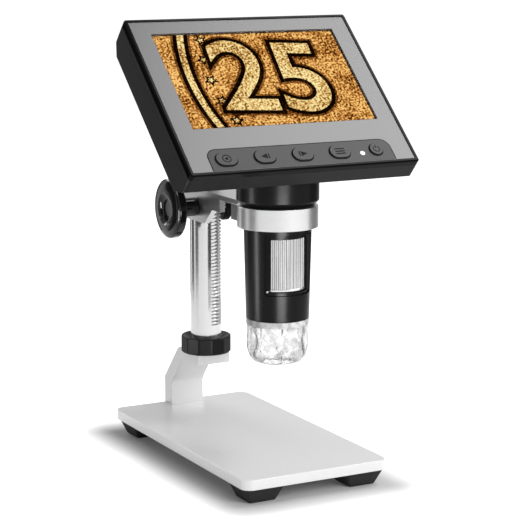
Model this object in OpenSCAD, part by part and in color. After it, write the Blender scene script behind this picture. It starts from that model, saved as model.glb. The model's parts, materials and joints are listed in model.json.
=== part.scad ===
// LCD digital microscope on a rack-and-pinion stand, millimetres.
// The part stands on the floor plane z = 0, +X is to the right of the user
// and -Y is towards the user. The origin is under the middle of the base.

/* [Base] */
// Width of the base plate
base_w = 76; // [66:1:90]
// Length of the base plate
base_l = 146; // [134:1:165]
// Thickness of the base plate
base_t = 4.8; // [3.8:0.2:8]
// Corner radius of the base plate
base_corner_r = 5; // [2:0.5:8]
// Height of the rubber feet
foot_h = 7.6; // [5:0.2:11]
// Side of a foot where it meets the plate
foot_top = 20; // [17:0.5:24]
// Side of a foot on the floor
foot_bottom = 13.6; // [10:0.2:16]
// Distance of a foot from the plate's edges
foot_margin = 1.6; // [0.6:0.2:4]

/* [Bracket] */
// Width of the cranked bracket
bracket_w = 18; // [15:0.5:22]
// Thickness of its top plate
bracket_t = 5; // [4:0.2:7]
// Depth of its foot on the base
bracket_foot = 8.4; // [7:0.2:11]
// Height of the upright foot before the bend
bracket_upright = 14; // [10:0.5:18]
// Height of the bracket above the base
bracket_rise = 32.5; // [28:0.5:45]
// How far the slanting part leads forward
bracket_lead = 16.3; // [12:0.5:20]
// Length of the top plate in front of the bend
bracket_plate = 22.7; // [20:0.5:30]

/* [Column] */
// Diameter of the column
column_d = 15.7; // [14:0.1:18]
// Length of the column above the bracket
column_l = 129; // [118:1:160]
// Distance of the column axis behind the front of the top plate
column_set = 8.3; // [7:0.1:10]
// Pitch of the rack teeth
rack_pitch = 1.75; // [1.6:0.05:1.9]
// Height of the toothed length
rack_l = 112; // [100:1:116]
// Height of the first tooth above the bracket
rack_start = 14; // [12:0.5:16]
// Outer diameter of the lock collar
collar_d = 25.6; // [23:0.2:30]
// Height of the lock collar
collar_h = 8.6; // [6:0.2:9]

/* [Carriage] */
// Width of the arm and sleeve
arm_w = 20.4; // [19.6:0.2:26]
// Thickness of the side walls
arm_wall = 2.8; // [2.2:0.1:3.2]
// Thickness of the roof
roof_t = 2.3; // [1.8:0.1:3]
// Height of the arm
arm_h = 8.5; // [7.5:0.1:9.5]
// Height of the sleeve round the column
sleeve_h = 16.3; // [15.5:0.1:20]
// Height of the sleeve above the bracket
sleeve_lift = 69.3; // [60:1:74]
// Distance from the column axis to the head axis
arm_reach = 75.8; // [72:0.2:90]
// Length of the arm's walls in front of the column axis
arm_walls_l = 36; // [34:0.5:38]
// Teeth on the pinion
pinion_teeth = 11; // [10:1:13]
// Face width of the pinion
pinion_w = 5; // [4:0.5:6]
// Diameter of the pinion shaft
shaft_d = 4; // [3:0.2:4.4]

/* [Focus knob] */
// Diameter of the height knob
knob_d = 29.2; // [24:0.2:34]
// Thickness of the height knob
knob_t = 5.4; // [4.6:0.1:7]
// Diameter of the dish in its face
knob_dish_d = 16.4; // [12:0.2:18]
// Diameter of its hub
hub_d = 9.4; // [8.6:0.1:11]
// Length of its hub
hub_l = 11.4; // [8:0.1:14]
// Diameter of the lock knob
lock_d = 11.4; // [9:0.2:13]
// Length of the lock knob
lock_l = 4.2; // [3:0.1:7]

/* [Ring] */
// Outer diameter of the ring clamp
ring_d = 38; // [37:0.2:42]
// Height of the ring clamp
ring_h = 10; // [9:0.2:13]
// Bore of the ring clamp, which the barrel turns in
ring_bore = 32; // [30:0.2:32.6]

/* [Head] */
// Diameter of the barrel at its lower end
barrel_low_d = 29.8; // [28.6:0.1:30]
// Length of the barrel under the top of the ring
barrel_l = 53.5; // [50:0.5:60]
// Wall of the barrel beside the focus wheel
barrel_wall = 1.9; // [1.6:0.1:2.1]
// Diameter of the neck above the ring
neck_d = 38.8; // [38:0.2:44]
// Wall of the neck
neck_wall = 2; // [1.5:0.1:3]
// Height of the focus window
window_h = 25.6; // [24:0.2:28]
// Angle the focus window spans
window_angle = 94; // [70:1:110]
// Height of the focus wheel
wheel_h = 23.6; // [20:0.2:23.8]
// Ribs on the focus wheel
wheel_ribs = 44; // [30:1:60]
// Length of the clear cap
cap_l = 21.2; // [20:0.2:28]
// Mouth of the clear cap
cap_mouth_d = 19; // [14:0.5:21]
// Wall of the clear cap
cap_wall = 1.5; // [1:0.1:1.6]

/* [Display] */
// Width of the display housing
disp_w = 118.5; // [114:0.5:130]
// Height of the display housing
disp_h = 96; // [94:0.5:105]
// Depth of the housing at its lower edge
depth_low = 18.6; // [17:0.2:20]
// Depth of the housing at its upper edge
depth_high = 18.6; // [18:0.2:22]
// Wall of the rear shell
shell_wall = 2; // [1.6:0.1:2.2]
// Width of the black rim
rim_w = 1.8; // [1.4:0.1:2.4]
// Angle that the screen leans back from upright
lean = 47.6; // [40:0.5:52]
// Height of the display centre above the ring
disp_lift = 52.9; // [50:0.5:60]
// Distance of the display centre behind the head axis
disp_set = 5.6; // [3:0.2:8]
// Width of the picture on the screen
screen_w = 95; // [90:0.5:96]
// Height of the picture on the screen
screen_h = 57.6; // [52:0.2:59]
// Height of the picture above the display centre
screen_up = 8.8; // [8:0.1:9.4]
// Spacing of the buttons
button_pitch = 19.4; // [16:0.1:20]
// Distance of the buttons below the display centre
button_down = 39.6; // [39:0.1:40]
// Width of a menu button
button_w = 10.2; // [8:0.1:11]
// Height of a menu button
button_h = 7.2; // [6:0.1:7.6]
// Diameter of the power button
power_d = 6.4; // [5:0.1:7]
// Travel of the buttons
button_travel = 0.6; // [0.3:0.05:0.65]

/* [Hidden] */
$fn = 64;
far = 200;                 // longer than any cut needs to be
over = 1;                  // how far a cut runs past a face
tight_gap = 0.02;          // radial clearance of a fixed fit
run_gap = 0.05;            // radial clearance of a running fit
side_gap = 0.3;            // gap between faces that pass each other
seat_gap = 0.1;            // gap between faces that nearly touch

// Levels, from the floor up
plate_top = foot_h + base_t;
bracket_top = plate_top + bracket_rise;
sleeve_low = bracket_top + sleeve_lift;
roof_top = sleeve_low + sleeve_h;
roof_low = roof_top - roof_t;
arm_low = roof_top - arm_h;
ring_low = roof_top - ring_h;
barrel_low = roof_top - barrel_l;
cap_low = barrel_low - cap_l;
neck_low = roof_top + 0.2;
column_top = bracket_top + column_l;

// Places along Y
base_back = base_l / 2;
bracket_bend = base_back - bracket_lead;
bracket_front = bracket_bend - bracket_plate;
column_y = bracket_front + column_set;
head_y = column_y - arm_reach;
column_r = column_d / 2;
sleeve_bore = column_r + run_gap;
arm_side = arm_w / 2;
sleeve_back = column_y + column_r + arm_wall;
walls_front = column_y - arm_walls_l;
sleeve_front = column_y + 2.7;       // the sleeve's right side starts behind the column axis
tail_l = 28;                         // from the head axis to the rear face of the ring's tail
roof_lap = 7.5;                      // how far the roof lies on the tail
tail_back = head_y + tail_l;
roof_front = tail_back - roof_lap;

// Rack and pinion
tooth_add = 0.5;
tooth_ded = 0.6;
pinion_r = pinion_teeth * rack_pitch / (2 * PI);
pinion_y = column_y - column_r + tooth_add - pinion_r;
pinion_up = 7.3;                     // pinion axis above the lower end of the sleeve
pinion_z = sleeve_low + pinion_up;
rack_teeth = floor(rack_l / rack_pitch);
rack_from = -96;                     // the rack starts just left of the front
rack_angle = 96;
// The first groove sits a whole number of pitches under the pinion
rack_shift = (pinion_z - bracket_top - rack_start)
    - rack_pitch * floor((pinion_z - bracket_top - rack_start) / rack_pitch);
bush_wall = 1.4;
bush_r = shaft_d / 2 + bush_wall;
lock_back = 4.2;                     // lock screw behind the column axis
lock_up = 2.6;                       // and above the lower end of the sleeve
lock_y = column_y + lock_back;
lock_z = sleeve_low + lock_up;
lock_thread_r = 1.5;

// Head
barrel_top_r = ring_bore / 2 - run_gap;
barrel_low_r = barrel_low_d / 2;
window_down = 13.8;                  // top of the focus window below the top of the ring
window_low = roof_top - window_down - window_h;
wheel_low = window_low + (window_h - wheel_h) / 2 + seat_gap;
function barrel_r(z) = barrel_low_r
    + (barrel_top_r - barrel_low_r) * min(1, (z - barrel_low) / (ring_low - barrel_low));
wheel_seat = wheel_low - seat_gap;
bore_r = barrel_r(wheel_low) - barrel_wall;
wheel_r = bore_r - 0.25;
wheel_wall = 3;
wheel_seat_w = 1.3;                  // ledge that the wheel turns on
low_bore_r = bore_r - wheel_seat_w;
wheel_bore_r = wheel_r - wheel_wall;
cell_r = 6.8;
cell_wall = 1.4;
cell_lip = 1;                        // lip that holds the front lens
floor_t = 1.5;
spigot_h = 3;
spigot_wall = 1.4;
cap_r = barrel_low_r - seat_gap;
spigot_r = cap_r - cap_wall - run_gap;
board_t = 1.2;
led_ring_r = 9.2;
led_r = 1.5;
led_h = 1.6;
sensor_down = 9;                     // sensor board below the top of the ring
sensor_z = roof_top - sensor_down;
barrel_rise = 11;                    // how far the barrel stands up into the neck
barrel_top = roof_top + barrel_rise;
neck_r = neck_d / 2;
cable_hole_r = 9;

// Display housing, in its own frame: y is the depth behind the face, z runs up the face
disp_y = head_y + disp_set;
disp_z = roof_top + disp_lift;
corner_r = 1.6;
inner_corner_r = 0.6;
frame_t = 3.2;
panel_front = 0.4;
panel_t = 2;
panel_back = panel_front + panel_t;
ledge_w = rim_w + 3.7;               // ledge behind the panel, at its sides
ledge_h = rim_w + 1.2;               // the same along its top and bottom
lcd_w = screen_w + 8;
lcd_h = screen_h + 9.4;
lcd_t = 3.8;
board_front = 8.2;
board_back = board_front + board_t;
board_w = 98;
board_h = 52;
board_down = 18;
back_chamfer = 6;                    // slope between the back and the upper edge
low_chamfer = 7.5;                   // the same at the lower edge
boss_down = 14;                      // bosses from the upper and lower edges
boss_r = 2.1;
boss_x = disp_w / 2 - shell_wall - boss_r - 0.2;
boss_z = disp_h / 2 - boss_down;
boss_end = frame_t + 4;              // where the front bosses meet those of the shell
screw_r = 1;
screw_hole = depth_low - 2;          // bottom of the holes for the screws' heads
strip_w = 94;
strip_h = 12.2;
strip_t = 0.6;
strip_front = panel_front - 0.1;
button_proud = 0.5;
button_play = 0.25;
flange_w = 0.8;
flange_t = 0.8;
switch_t = 3.4;
switch_w = 6;
battery_w = 62;
battery_h = 26;
battery_t = 5;
battery_down = 22;                   // middle of the battery below the upper edge
pipe_x = 31;
dimmer_z = 20;
dimmer_r = 6;
dimmer_t = 3;
usb_z = -5;
usb_w = 7.8;
usb_t = 2.8;
card_z = -22;
card_w = 12.4;
card_t = 2.1;

// ---------- shared shapes ----------

// Rectangle with round corners, centred
module round_rect(w, h, r) {
    square([w - 2 * r, h], center = true);
    square([w, h - 2 * r], center = true);
    for (x = [-1, 1])
        for (y = [-1, 1])
            translate([x * (w / 2 - r), y * (h / 2 - r)])
                circle(r);
}

// Oval of two half circles
module oval(w, h) {
    square([w - h, h], center = true);
    for (x = [-1, 1])
        translate([x * (w - h) / 2, 0])
            circle(h / 2);
}

// Extrudes a face outline back into the housing from depth y
module slab(y, t) {
    translate([0, y + t, 0])
        rotate([90, 0, 0])
            linear_extrude(t)
                children();
}

// Cylinder along X from x0 to x1
module rod_x(r, x0, x1) {
    translate([x0, 0, 0])
        rotate([0, 90, 0])
            cylinder(r = r, h = x1 - x0);
}

// Cylinder along the housing's depth
module rod_y(r, y0, y1) {
    translate([0, y1, 0])
        rotate([90, 0, 0])
            cylinder(r = r, h = y1 - y0);
}

// Disc outline with n straight-sided ribs between the two radii
module ribbed(r_out, r_in, n) {
    step = 360 / n;
    polygon([for (i = [0 : n - 1])
        for (c = [[-0.30, r_in], [-0.18, r_out], [0.18, r_out], [0.30, r_in]])
            c[1] * [cos((i + c[0]) * step), sin((i + c[0]) * step)]]);
}

// Wedge-shaped sector for cutting windows, centred on the front (-Y)
module sector(angle, r) {
    polygon([[0, 0], for (a = [-angle / 2, 0, angle / 2]) 2 * r * [sin(a), -cos(a)]]);
}

module at_head() {
    translate([0, head_y, 0])
        children();
}

module at_column() {
    translate([0, column_y, 0])
        children();
}

module at_pinion() {
    translate([0, pinion_y, pinion_z])
        children();
}

module at_display() {
    translate([0, disp_y, disp_z])
        rotate([-lean, 0, 0])
            children();
}

// The children and their mirror image on the left
module mirror_x() {
    children();
    mirror([1, 0, 0])
        children();
}

// ---------- stand ----------

foot_x = base_w / 2 - foot_top / 2 - foot_margin;
foot_y = base_l / 2 - foot_top / 2 - foot_margin;
foot_screw_r = 1.6;
foot_recess = 2.4;         // depth of the hole for the screw's head
blind_t = 1.4;             // metal left above a blind hole in the plate
bracket_screw_x = 5;
bracket_screw_y = base_back - bracket_foot / 2;
bracket_screw_r = 1.5;
thread_l = 6;              // length of screw in the bracket's foot
screw_head_r = 2.8;
screw_head_h = 1.6;
head_recess = 2;
hex_r = 1.2;               // hexagon socket of a screw
bolt_r = 2.5;
bolt_l = 12;
bolt_head_r = 4.4;
bolt_head_h = 1.8;
bolt_hex_r = 2;
bolt_hex_l = 1.2;
column_spigot_r = 4.5;
column_spigot_l = 1.4;
column_bore_l = 8;         // bore for the cap at the top of the column

module at_feet() {
    for (x = [-1, 1])
        for (y = [-1, 1])
            translate([x * foot_x, y * foot_y, 0])
                children();
}

module base_plate() {
    color("gainsboro")
        difference() {
            translate([0, 0, foot_h])
                linear_extrude(base_t)
                    round_rect(base_w, base_l, base_corner_r);
            at_feet()
                translate([0, 0, foot_h - over])
                    cylinder(r = foot_screw_r, h = base_t - blind_t + over);
            mirror_x()
                translate([bracket_screw_x, bracket_screw_y, foot_h - over]) {
                    cylinder(r = bracket_screw_r + seat_gap, h = base_t + 2 * over);
                    cylinder(r = screw_head_r + seat_gap, h = head_recess + over);
                }
        }
}

// A foot tapers down on all four sides
module foot() {
    edge = 0.4;
    difference() {
        hull() {
            translate([0, 0, foot_h - edge])
                linear_extrude(edge)
                    square(foot_top, center = true);
            linear_extrude(edge)
                square(foot_bottom, center = true);
        }
        translate([0, 0, -over]) {
            cylinder(r = foot_screw_r, h = foot_h + 2 * over);
            cylinder(r = screw_head_r + seat_gap, h = foot_recess + over);
        }
    }
}

module rubber_feet() {
    color("dimgray")
        at_feet()
            foot();
}

module foot_screws() {
    color("silver")
        at_feet()
            difference() {
                union() {
                    translate([0, 0, foot_recess - over])
                        cylinder(r = foot_screw_r - run_gap,
                                 h = plate_top - blind_t - side_gap - foot_recess + over);
                    translate([0, 0, foot_recess - screw_head_h])
                        cylinder(r = screw_head_r, h = screw_head_h);
                }
                translate([0, 0, foot_recess - screw_head_h - over])
                    cylinder(r = hex_r, h = 2 * over, $fn = 6);
            }
}

// Side view of the bracket: upright foot, slanting web, level top plate
module bracket_outline() {
    bend_low = plate_top + bracket_upright;
    foot_front = base_back - bracket_foot;
    web_top = bracket_bend - 4.6;
    polygon([
        [base_back, plate_top],
        [base_back, bend_low],
        [bracket_bend, bracket_top],
        [bracket_front, bracket_top],
        [bracket_front, bracket_top - bracket_t],
        [web_top, bracket_top - bracket_t],
        [foot_front - 1.6, bend_low + 0.6],
        [foot_front, bend_low - 2.2],
        [foot_front, plate_top]
    ]);
}

module bracket() {
    color("silver")
        difference() {
            translate([-bracket_w / 2, 0, 0])
                rotate([90, 0, 90])
                    linear_extrude(bracket_w)
                        bracket_outline();
            mirror_x()
                translate([bracket_screw_x, bracket_screw_y, plate_top - over])
                    cylinder(r = bracket_screw_r, h = thread_l + 3 * over);
            at_column()
                translate([0, 0, bracket_top]) {
                    translate([0, 0, -column_spigot_l - seat_gap])
                        cylinder(r = column_spigot_r + run_gap, h = column_spigot_l + over);
                    translate([0, 0, -bracket_t - over])
                        cylinder(r = bolt_r + run_gap, h = bracket_t);
                    translate([0, 0, -bracket_t - over])
                        cylinder(r = bolt_head_r + run_gap, h = bolt_head_h + seat_gap + over);
                }
        }
}

module bracket_screws() {
    color("silver")
        mirror_x()
            translate([bracket_screw_x, bracket_screw_y, foot_h + head_recess]) {
                translate([0, 0, -screw_head_h])
                    cylinder(r = screw_head_r, h = screw_head_h);
                cylinder(r = bracket_screw_r - run_gap, h = base_t - head_recess + thread_l);
            }
}

// Grooves milled round part of the column, one under each rack tooth
module rack_grooves() {
    deep = tooth_add + tooth_ded;
    top_half = 0.36 * rack_pitch;
    floor_half = top_half - deep * tan(20);
    at_column()
        translate([0, 0, bracket_top + rack_start + rack_shift])
            intersection() {
                rotate_extrude()
                    for (i = [0 : rack_teeth - 1])
                        translate([column_r, i * rack_pitch])
                            polygon([[-deep, -floor_half], [1, -top_half - tan(20)],
                                     [1, top_half + tan(20)], [-deep, floor_half]]);
                translate([0, 0, -rack_pitch])
                    linear_extrude(rack_l + 2 * rack_pitch)
                        polygon([[0, 0], for (a = [rack_from, rack_from + rack_angle])
                            2 * column_d * [cos(a), sin(a)]]);
            }
}

module column() {
    color("lightgray")
        difference() {
            at_column() {
                translate([0, 0, bracket_top])
                    cylinder(r = column_r, h = column_l);
                translate([0, 0, bracket_top - column_spigot_l])
                    cylinder(r = column_spigot_r, h = column_spigot_l + over);
            }
            rack_grooves();
            at_column() {
                translate([0, 0, bracket_top - column_spigot_l - over])
                    cylinder(r = bolt_r + tight_gap, h = bolt_l + over);
                translate([0, 0, column_top - column_bore_l])
                    cylinder(r = cap_plug_r + tight_gap, h = column_bore_l + over);
            }
        }
}

// Bolt that holds the column, its head sunk flush in the bracket's underside
module column_bolt() {
    color("dimgray")
        at_column()
            translate([0, 0, bracket_top - bracket_t])
                difference() {
                    union() {
                        cylinder(r = bolt_r, h = bolt_l);
                        cylinder(r = bolt_head_r, h = bolt_head_h);
                    }
                    translate([0, 0, -over])
                        cylinder(r = bolt_hex_r, h = bolt_hex_l + over, $fn = 6);
                }
}

cap_plug_r = 4;

module column_cap() {
    color("black")
        at_column()
            translate([0, 0, column_top]) {
                cylinder(r = column_r - 0.2, h = 1.6);
                translate([0, 0, 2 * over - column_bore_l])
                    cylinder(r = cap_plug_r, h = column_bore_l - over);
            }
}

// Twelve-sided collar with broken edges and a funnel in its top
module lock_collar() {
    outer = collar_d / 2;
    flat_cut = 0.3;
    funnel = 1.6;
    color("black")
        at_column()
            translate([0, 0, bracket_top + seat_gap])
                difference() {
                    intersection() {
                        rotate([0, 0, 17])
                            cylinder(r = (outer - flat_cut) / cos(180 / 12),
                                     h = collar_h, $fn = 12);
                        rotate_extrude()
                            polygon([[0, 0], [outer - 0.8, 0], [outer, 0.8],
                                     [outer, collar_h - 0.6], [outer - 0.6, collar_h],
                                     [0, collar_h]]);
                    }
                    translate([0, 0, -over])
                        cylinder(r = column_r + run_gap, h = collar_h + 2 * over);
                    translate([0, 0, collar_h - funnel])
                        cylinder(r1 = column_r, r2 = outer - funnel, h = funnel + 0.1);
                }
}

// ---------- carriage ----------

cheek_l = 9;               // low part of the left wall in front of the pinion
cheek_slope = 8.4;         // length of its slanting end

// Side view of the arm's left wall, which drops to carry the pinion bush
module left_wall_outline() {
    polygon([
        [sleeve_back, sleeve_low], [pinion_y - cheek_l, sleeve_low],
        [pinion_y - cheek_l - cheek_slope, arm_low], [walls_front, arm_low],
        [walls_front, roof_top], [sleeve_back, roof_top]
    ]);
}

// Side view of the arm's right wall, low only behind the column
module right_wall_outline() {
    polygon([
        [sleeve_back, sleeve_low], [sleeve_front, sleeve_low],
        [sleeve_front, arm_low], [walls_front, arm_low],
        [walls_front, roof_top], [sleeve_back, roof_top]
    ]);
}

module wall_at(x) {
    translate([x, 0, 0])
        rotate([90, 0, 90])
            linear_extrude(arm_wall)
                children();
}

arm_screw_x = 5;
arm_screw_y = (tail_back + roof_front) / 2;

module carriage() {
    color("silver")
        difference() {
            union() {
                wall_at(-arm_side)
                    left_wall_outline();
                wall_at(arm_side - arm_wall)
                    right_wall_outline();
                translate([-arm_side, roof_front, roof_low])
                    cube([arm_w, sleeve_back - roof_front, roof_t]);
                translate([-arm_side, sleeve_front, sleeve_low])
                    cube([arm_w, sleeve_back - sleeve_front, sleeve_h]);
            }
            at_column()
                translate([0, 0, sleeve_low - over])
                    cylinder(r = sleeve_bore, h = sleeve_h + 2 * over);
            at_pinion()
                rod_x(bush_r, -arm_side - over, -arm_side + arm_wall + over);
            translate([0, lock_y, lock_z])
                rod_x(lock_thread_r + run_gap, 0, arm_side + over);
            mirror_x()
                translate([arm_screw_x, arm_screw_y, roof_low - over])
                    cylinder(r = bracket_screw_r + seat_gap, h = roof_t + 2 * over);
        }
}

// Flanged bush pressed into the left wall
module pinion_bush() {
    inner_face = -arm_side + arm_wall;
    flange = 1;
    color("darkgoldenrod")
        at_pinion()
            difference() {
                union() {
                    rod_x(bush_r, -arm_side, inner_face + 3 * flange);
                    rod_x(bush_r + 0.8, inner_face, inner_face + flange);
                }
                rod_x(shaft_d / 2 + run_gap, -arm_side - over, 0);
            }
}

pinion_left = -0.5;

// Pinion with straight-flanked teeth, one of them pointing at the rack
module pinion() {
    color("gray")
        at_pinion() {
            rod_x(shaft_d / 2, knob_in, pinion_left + pinion_w);
            rotate([0, 90, 0])
                translate([0, 0, pinion_left])
                    linear_extrude(pinion_w)
                        pinion_outline();
        }
}

module pinion_outline() {
    root = pinion_r - tooth_ded;
    tip = pinion_r + tooth_add - 0.06;
    circle(root);
    for (i = [0 : pinion_teeth - 1])
        rotate([0, 0, 90 + i * 360 / pinion_teeth])
            polygon([[root - 0.3, -0.22 * rack_pitch], [tip, -0.08 * rack_pitch],
                     [tip, 0.08 * rack_pitch], [root - 0.3, 0.22 * rack_pitch]]);
}

knob_in = -arm_side - side_gap - hub_l;
knob_out = knob_in - knob_t;

// Dished knob and its hub, turned about the pinion axis
module focus_knob() {
    r = knob_d / 2;
    dish = knob_dish_d / 2;
    dish_deep = 2.6;
    round_over = 1.8;
    color("black")
        at_pinion()
            difference() {
                translate([knob_out, 0, 0])
                    rotate([0, 90, 0])
                        rotate_extrude($fn = 96) {
                            polygon([
                                [0, dish_deep], [dish - 0.8, dish_deep],
                                [dish, 0.5], [dish + 0.8, 0],
                                [r - round_over, 0],
                                for (a = [15 : 15 : 75])
                                    [r - round_over + round_over * sin(a),
                                     round_over - round_over * cos(a)],
                                [r, round_over], [r, knob_t - round_over],
                                for (a = [15 : 15 : 75])
                                    [r - round_over + round_over * cos(a),
                                     knob_t - round_over + round_over * sin(a)],
                                [r - round_over, knob_t], [hub_d / 2, knob_t],
                                [hub_d / 2, knob_t + hub_l], [0, knob_t + hub_l]
                            ]);
                        }
                rod_x(shaft_d / 2 + tight_gap, knob_in, 0);
                translate([knob_in + hub_l / 2, 0, 0])
                    cylinder(r = grub_r + run_gap, h = hub_d);
            }
}

grub_r = 1.25;

// Grub screw that holds the hub on the pinion's shaft
module knob_screw() {
    top = hub_d / 2 - shaft_d / 2 - side_gap;
    color("dimgray")
        at_pinion()
            translate([knob_in + hub_l / 2, 0, shaft_d / 2])
                difference() {
                    cylinder(r = grub_r, h = top);
                    translate([0, 0, top - over])
                        cylinder(r = grub_r / 2, h = 2 * over, $fn = 6);
                }
}

// Where the pad behind the lock screw ends, just outside the column
lock_tip = sqrt(column_r * column_r - lock_back * lock_back) + 1.4;

// Ribbed knob on the screw that locks the height
module lock_knob() {
    inner = arm_side + side_gap;
    r = lock_d / 2;
    edge = 0.7;
    color("black")
        translate([0, lock_y, lock_z]) {
            rod_x(lock_thread_r, lock_tip + seat_gap, inner + over);
            translate([inner, 0, 0])
                rotate([0, 90, 0])
                    intersection() {
                        linear_extrude(lock_l)
                            ribbed(r, r - 0.35, 26);
                        rotate_extrude()
                            polygon([[0, 0], [r - edge, 0], [r, edge], [r, lock_l - edge],
                                     [r - edge, lock_l], [0, lock_l]]);
                    }
        }
}

// Soft pad that the lock screw presses on the column
module lock_pad() {
    color("ivory")
        difference() {
            translate([0, lock_y, lock_z])
                rod_x(lock_thread_r, 0, lock_tip);
            at_column()
                translate([0, 0, sleeve_low - over])
                    cylinder(r = column_r + tight_gap, h = sleeve_h);
        }
}

pinch_y = tail_back - 3;
pinch_z = ring_low + 3.6;
pinch_r = 1.25;
pinch_head_r = 2.5;
pinch_head_h = 2.6;
pinch_seat = 2;            // depth of the hole for the pinch screw's head
pinch_end = 3;             // metal left beyond the end of the pinch screw
split_w = 1.2;
arm_thread_low = ring_low + 5.6;

// Split ring on a tail; the pinch screw closes it on the barrel
module ring_clamp() {
    color("silver")
        difference() {
            union() {
                at_head()
                    translate([0, 0, ring_low])
                        cylinder(r = ring_d / 2, h = ring_h, $fn = 96);
                translate([-arm_side, head_y, ring_low])
                    cube([arm_w, tail_l, ring_h - roof_t]);
            }
            at_head()
                translate([0, 0, ring_low - over])
                    cylinder(r = ring_bore / 2, h = ring_h + 2 * over, $fn = 96);
            translate([-split_w / 2, head_y, ring_low - over])
                cube([split_w, tail_l + over, ring_h + 2 * over]);
            translate([-arm_side - over, roof_front, roof_low])
                cube([arm_w + 2 * over, tail_l, roof_t + over]);
            mirror_x()
                translate([arm_screw_x, arm_screw_y, arm_thread_low])
                    cylinder(r = bracket_screw_r, h = ring_h);
            translate([0, pinch_y, pinch_z]) {
                rod_x(pinch_r, -arm_side + pinch_end, 0);
                rod_x(pinch_r + 0.2, 0, arm_side + over);
                rod_x(pinch_head_r + seat_gap, arm_side - pinch_seat, arm_side + over);
            }
        }
}

module arm_screws() {
    color("silver")
        mirror_x()
            translate([arm_screw_x, arm_screw_y, 0]) {
                translate([0, 0, arm_thread_low + side_gap])
                    cylinder(r = bracket_screw_r - run_gap,
                             h = roof_top - arm_thread_low - side_gap);
                translate([0, 0, roof_top])
                    difference() {
                        cylinder(r = screw_head_r, h = screw_head_h);
                        translate([0, 0, screw_head_h - over])
                            cylinder(r = hex_r, h = 2 * over, $fn = 6);
                    }
            }
}

module pinch_screw() {
    head_end = arm_side - pinch_seat + pinch_head_h;
    color("dimgray")
        translate([0, pinch_y, pinch_z])
            difference() {
                union() {
                    rod_x(pinch_r - run_gap, -arm_side + pinch_end + side_gap,
                          arm_side - pinch_seat);
                    rod_x(pinch_head_r, arm_side - pinch_seat, head_end);
                }
                translate([head_end - over, 0, 0])
                    rotate([0, 90, 0])
                        cylinder(r = hex_r, h = 2 * over, $fn = 6);
            }
}

// ---------- microscope head ----------

// Barrel with its spigot for the clear cap, its floor and its window
module barrel_shell() {
    spigot_bore_r = spigot_r - spigot_wall;
    color("black")
        difference() {
            at_head()
                rotate_extrude($fn = 96)
                    polygon([
                        [spigot_bore_r, barrel_low - spigot_h],
                        [spigot_r, barrel_low - spigot_h], [spigot_r, barrel_low],
                        [barrel_low_r, barrel_low], [barrel_top_r, ring_low],
                        [barrel_top_r, barrel_top], [bore_r, barrel_top],
                        [bore_r, wheel_seat], [low_bore_r, wheel_seat],
                        [low_bore_r, barrel_low + floor_t],
                        [cell_r + run_gap, barrel_low + floor_t],
                        [cell_r + run_gap, barrel_low], [spigot_bore_r, barrel_low]
                    ]);
            at_head()
                translate([0, 0, window_low])
                    linear_extrude(window_h)
                        difference() {
                            sector(window_angle, 2 * barrel_top_r);
                            circle(low_bore_r);
                        }
        }
}

// Solid of the display housing behind its front frame
module housing_solid(inset) {
    half = disp_h / 2 - inset;
    back_high = depth_high - inset;
    back_low = depth_low - inset;
    cut = back_chamfer - inset * 0.4;
    low_cut = low_chamfer - inset * 0.4;
    intersection() {
        slab(frame_t, max(depth_high, depth_low))
            round_rect(disp_w - 2 * inset, disp_h - 2 * inset, inset > 0 ? inner_corner_r : corner_r);
        translate([-disp_w / 2, 0, 0])
            rotate([90, 0, 90])
                linear_extrude(disp_w)
                    polygon([[0, -half], [0, half], [back_high - cut, half],
                             [back_high, half - cut], [back_low, -half + low_cut],
                             [back_low - low_cut, -half]]);
    }
}

// The neck joins the barrel to the slanting back of the display
module neck_shell() {
    bevel = 2.4;
    lip = 2.2;
    top = disp_z + 10;
    color("black")
        difference() {
            at_head()
                rotate_extrude($fn = 96)
                    polygon([
                        [barrel_top_r + tight_gap, neck_low], [neck_r - bevel, neck_low],
                        [neck_r, neck_low + bevel], [neck_r, top],
                        [neck_r - neck_wall, top],
                        [neck_r - neck_wall, neck_low + lip],
                        [barrel_top_r + tight_gap, neck_low + lip]
                    ]);
            at_display() {
                housing_solid(0);
                translate([-far / 2, -far + frame_t + 1, -far / 2])
                    cube([far, far, far]);
            }
        }
}

module focus_wheel() {
    color("silver")
        at_head()
            translate([0, 0, wheel_low])
                difference() {
                    linear_extrude(wheel_h)
                        ribbed(wheel_r, wheel_r - 0.5, wheel_ribs);
                    translate([0, 0, -over])
                        cylinder(r = wheel_bore_r, h = wheel_h + 2 * over);
                }
}

// Ring that keeps the focus wheel down on its ledge
module wheel_retainer() {
    ring_t = 2;
    ring_wall = 2.4;
    color("dimgray")
        at_head()
            translate([0, 0, wheel_low + wheel_h + seat_gap])
                difference() {
                    cylinder(r = bore_r - tight_gap, h = ring_t);
                    translate([0, 0, -over])
                        cylinder(r = bore_r - ring_wall, h = ring_t + 2 * over);
                }
}

cell_low = barrel_low - 1;
lens_seat = cell_low + 3;
flange_low = wheel_low + 8;
flange_h = 3;
cell_top = flange_low + 2 * flange_h;
lens_t = 2;

// Sliding tube that carries the lenses; its flange runs inside the focus wheel
module lens_cell() {
    lip_r = cell_r - cell_wall - cell_lip;
    flange_r = wheel_bore_r - run_gap;
    color("black")
        at_head()
            rotate_extrude()
                polygon([
                    [lip_r, cell_low], [cell_r, cell_low], [cell_r, flange_low],
                    [flange_r, flange_low], [flange_r, flange_low + flange_h],
                    [cell_r, flange_low + flange_h], [cell_r, cell_top],
                    [cell_r - cell_wall, cell_top], [cell_r - cell_wall, lens_seat],
                    [lip_r, lens_seat]
                ]);
}

module lens(z) {
    at_head()
        translate([0, 0, z])
            cylinder(r = cell_r - cell_wall - tight_gap, h = lens_t);
}

module front_lens() {
    color("lightcyan")
        lens(lens_seat);
}

module rear_lens() {
    color("lightcyan")
        lens(cell_top - 2 * lens_t);
}

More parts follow.
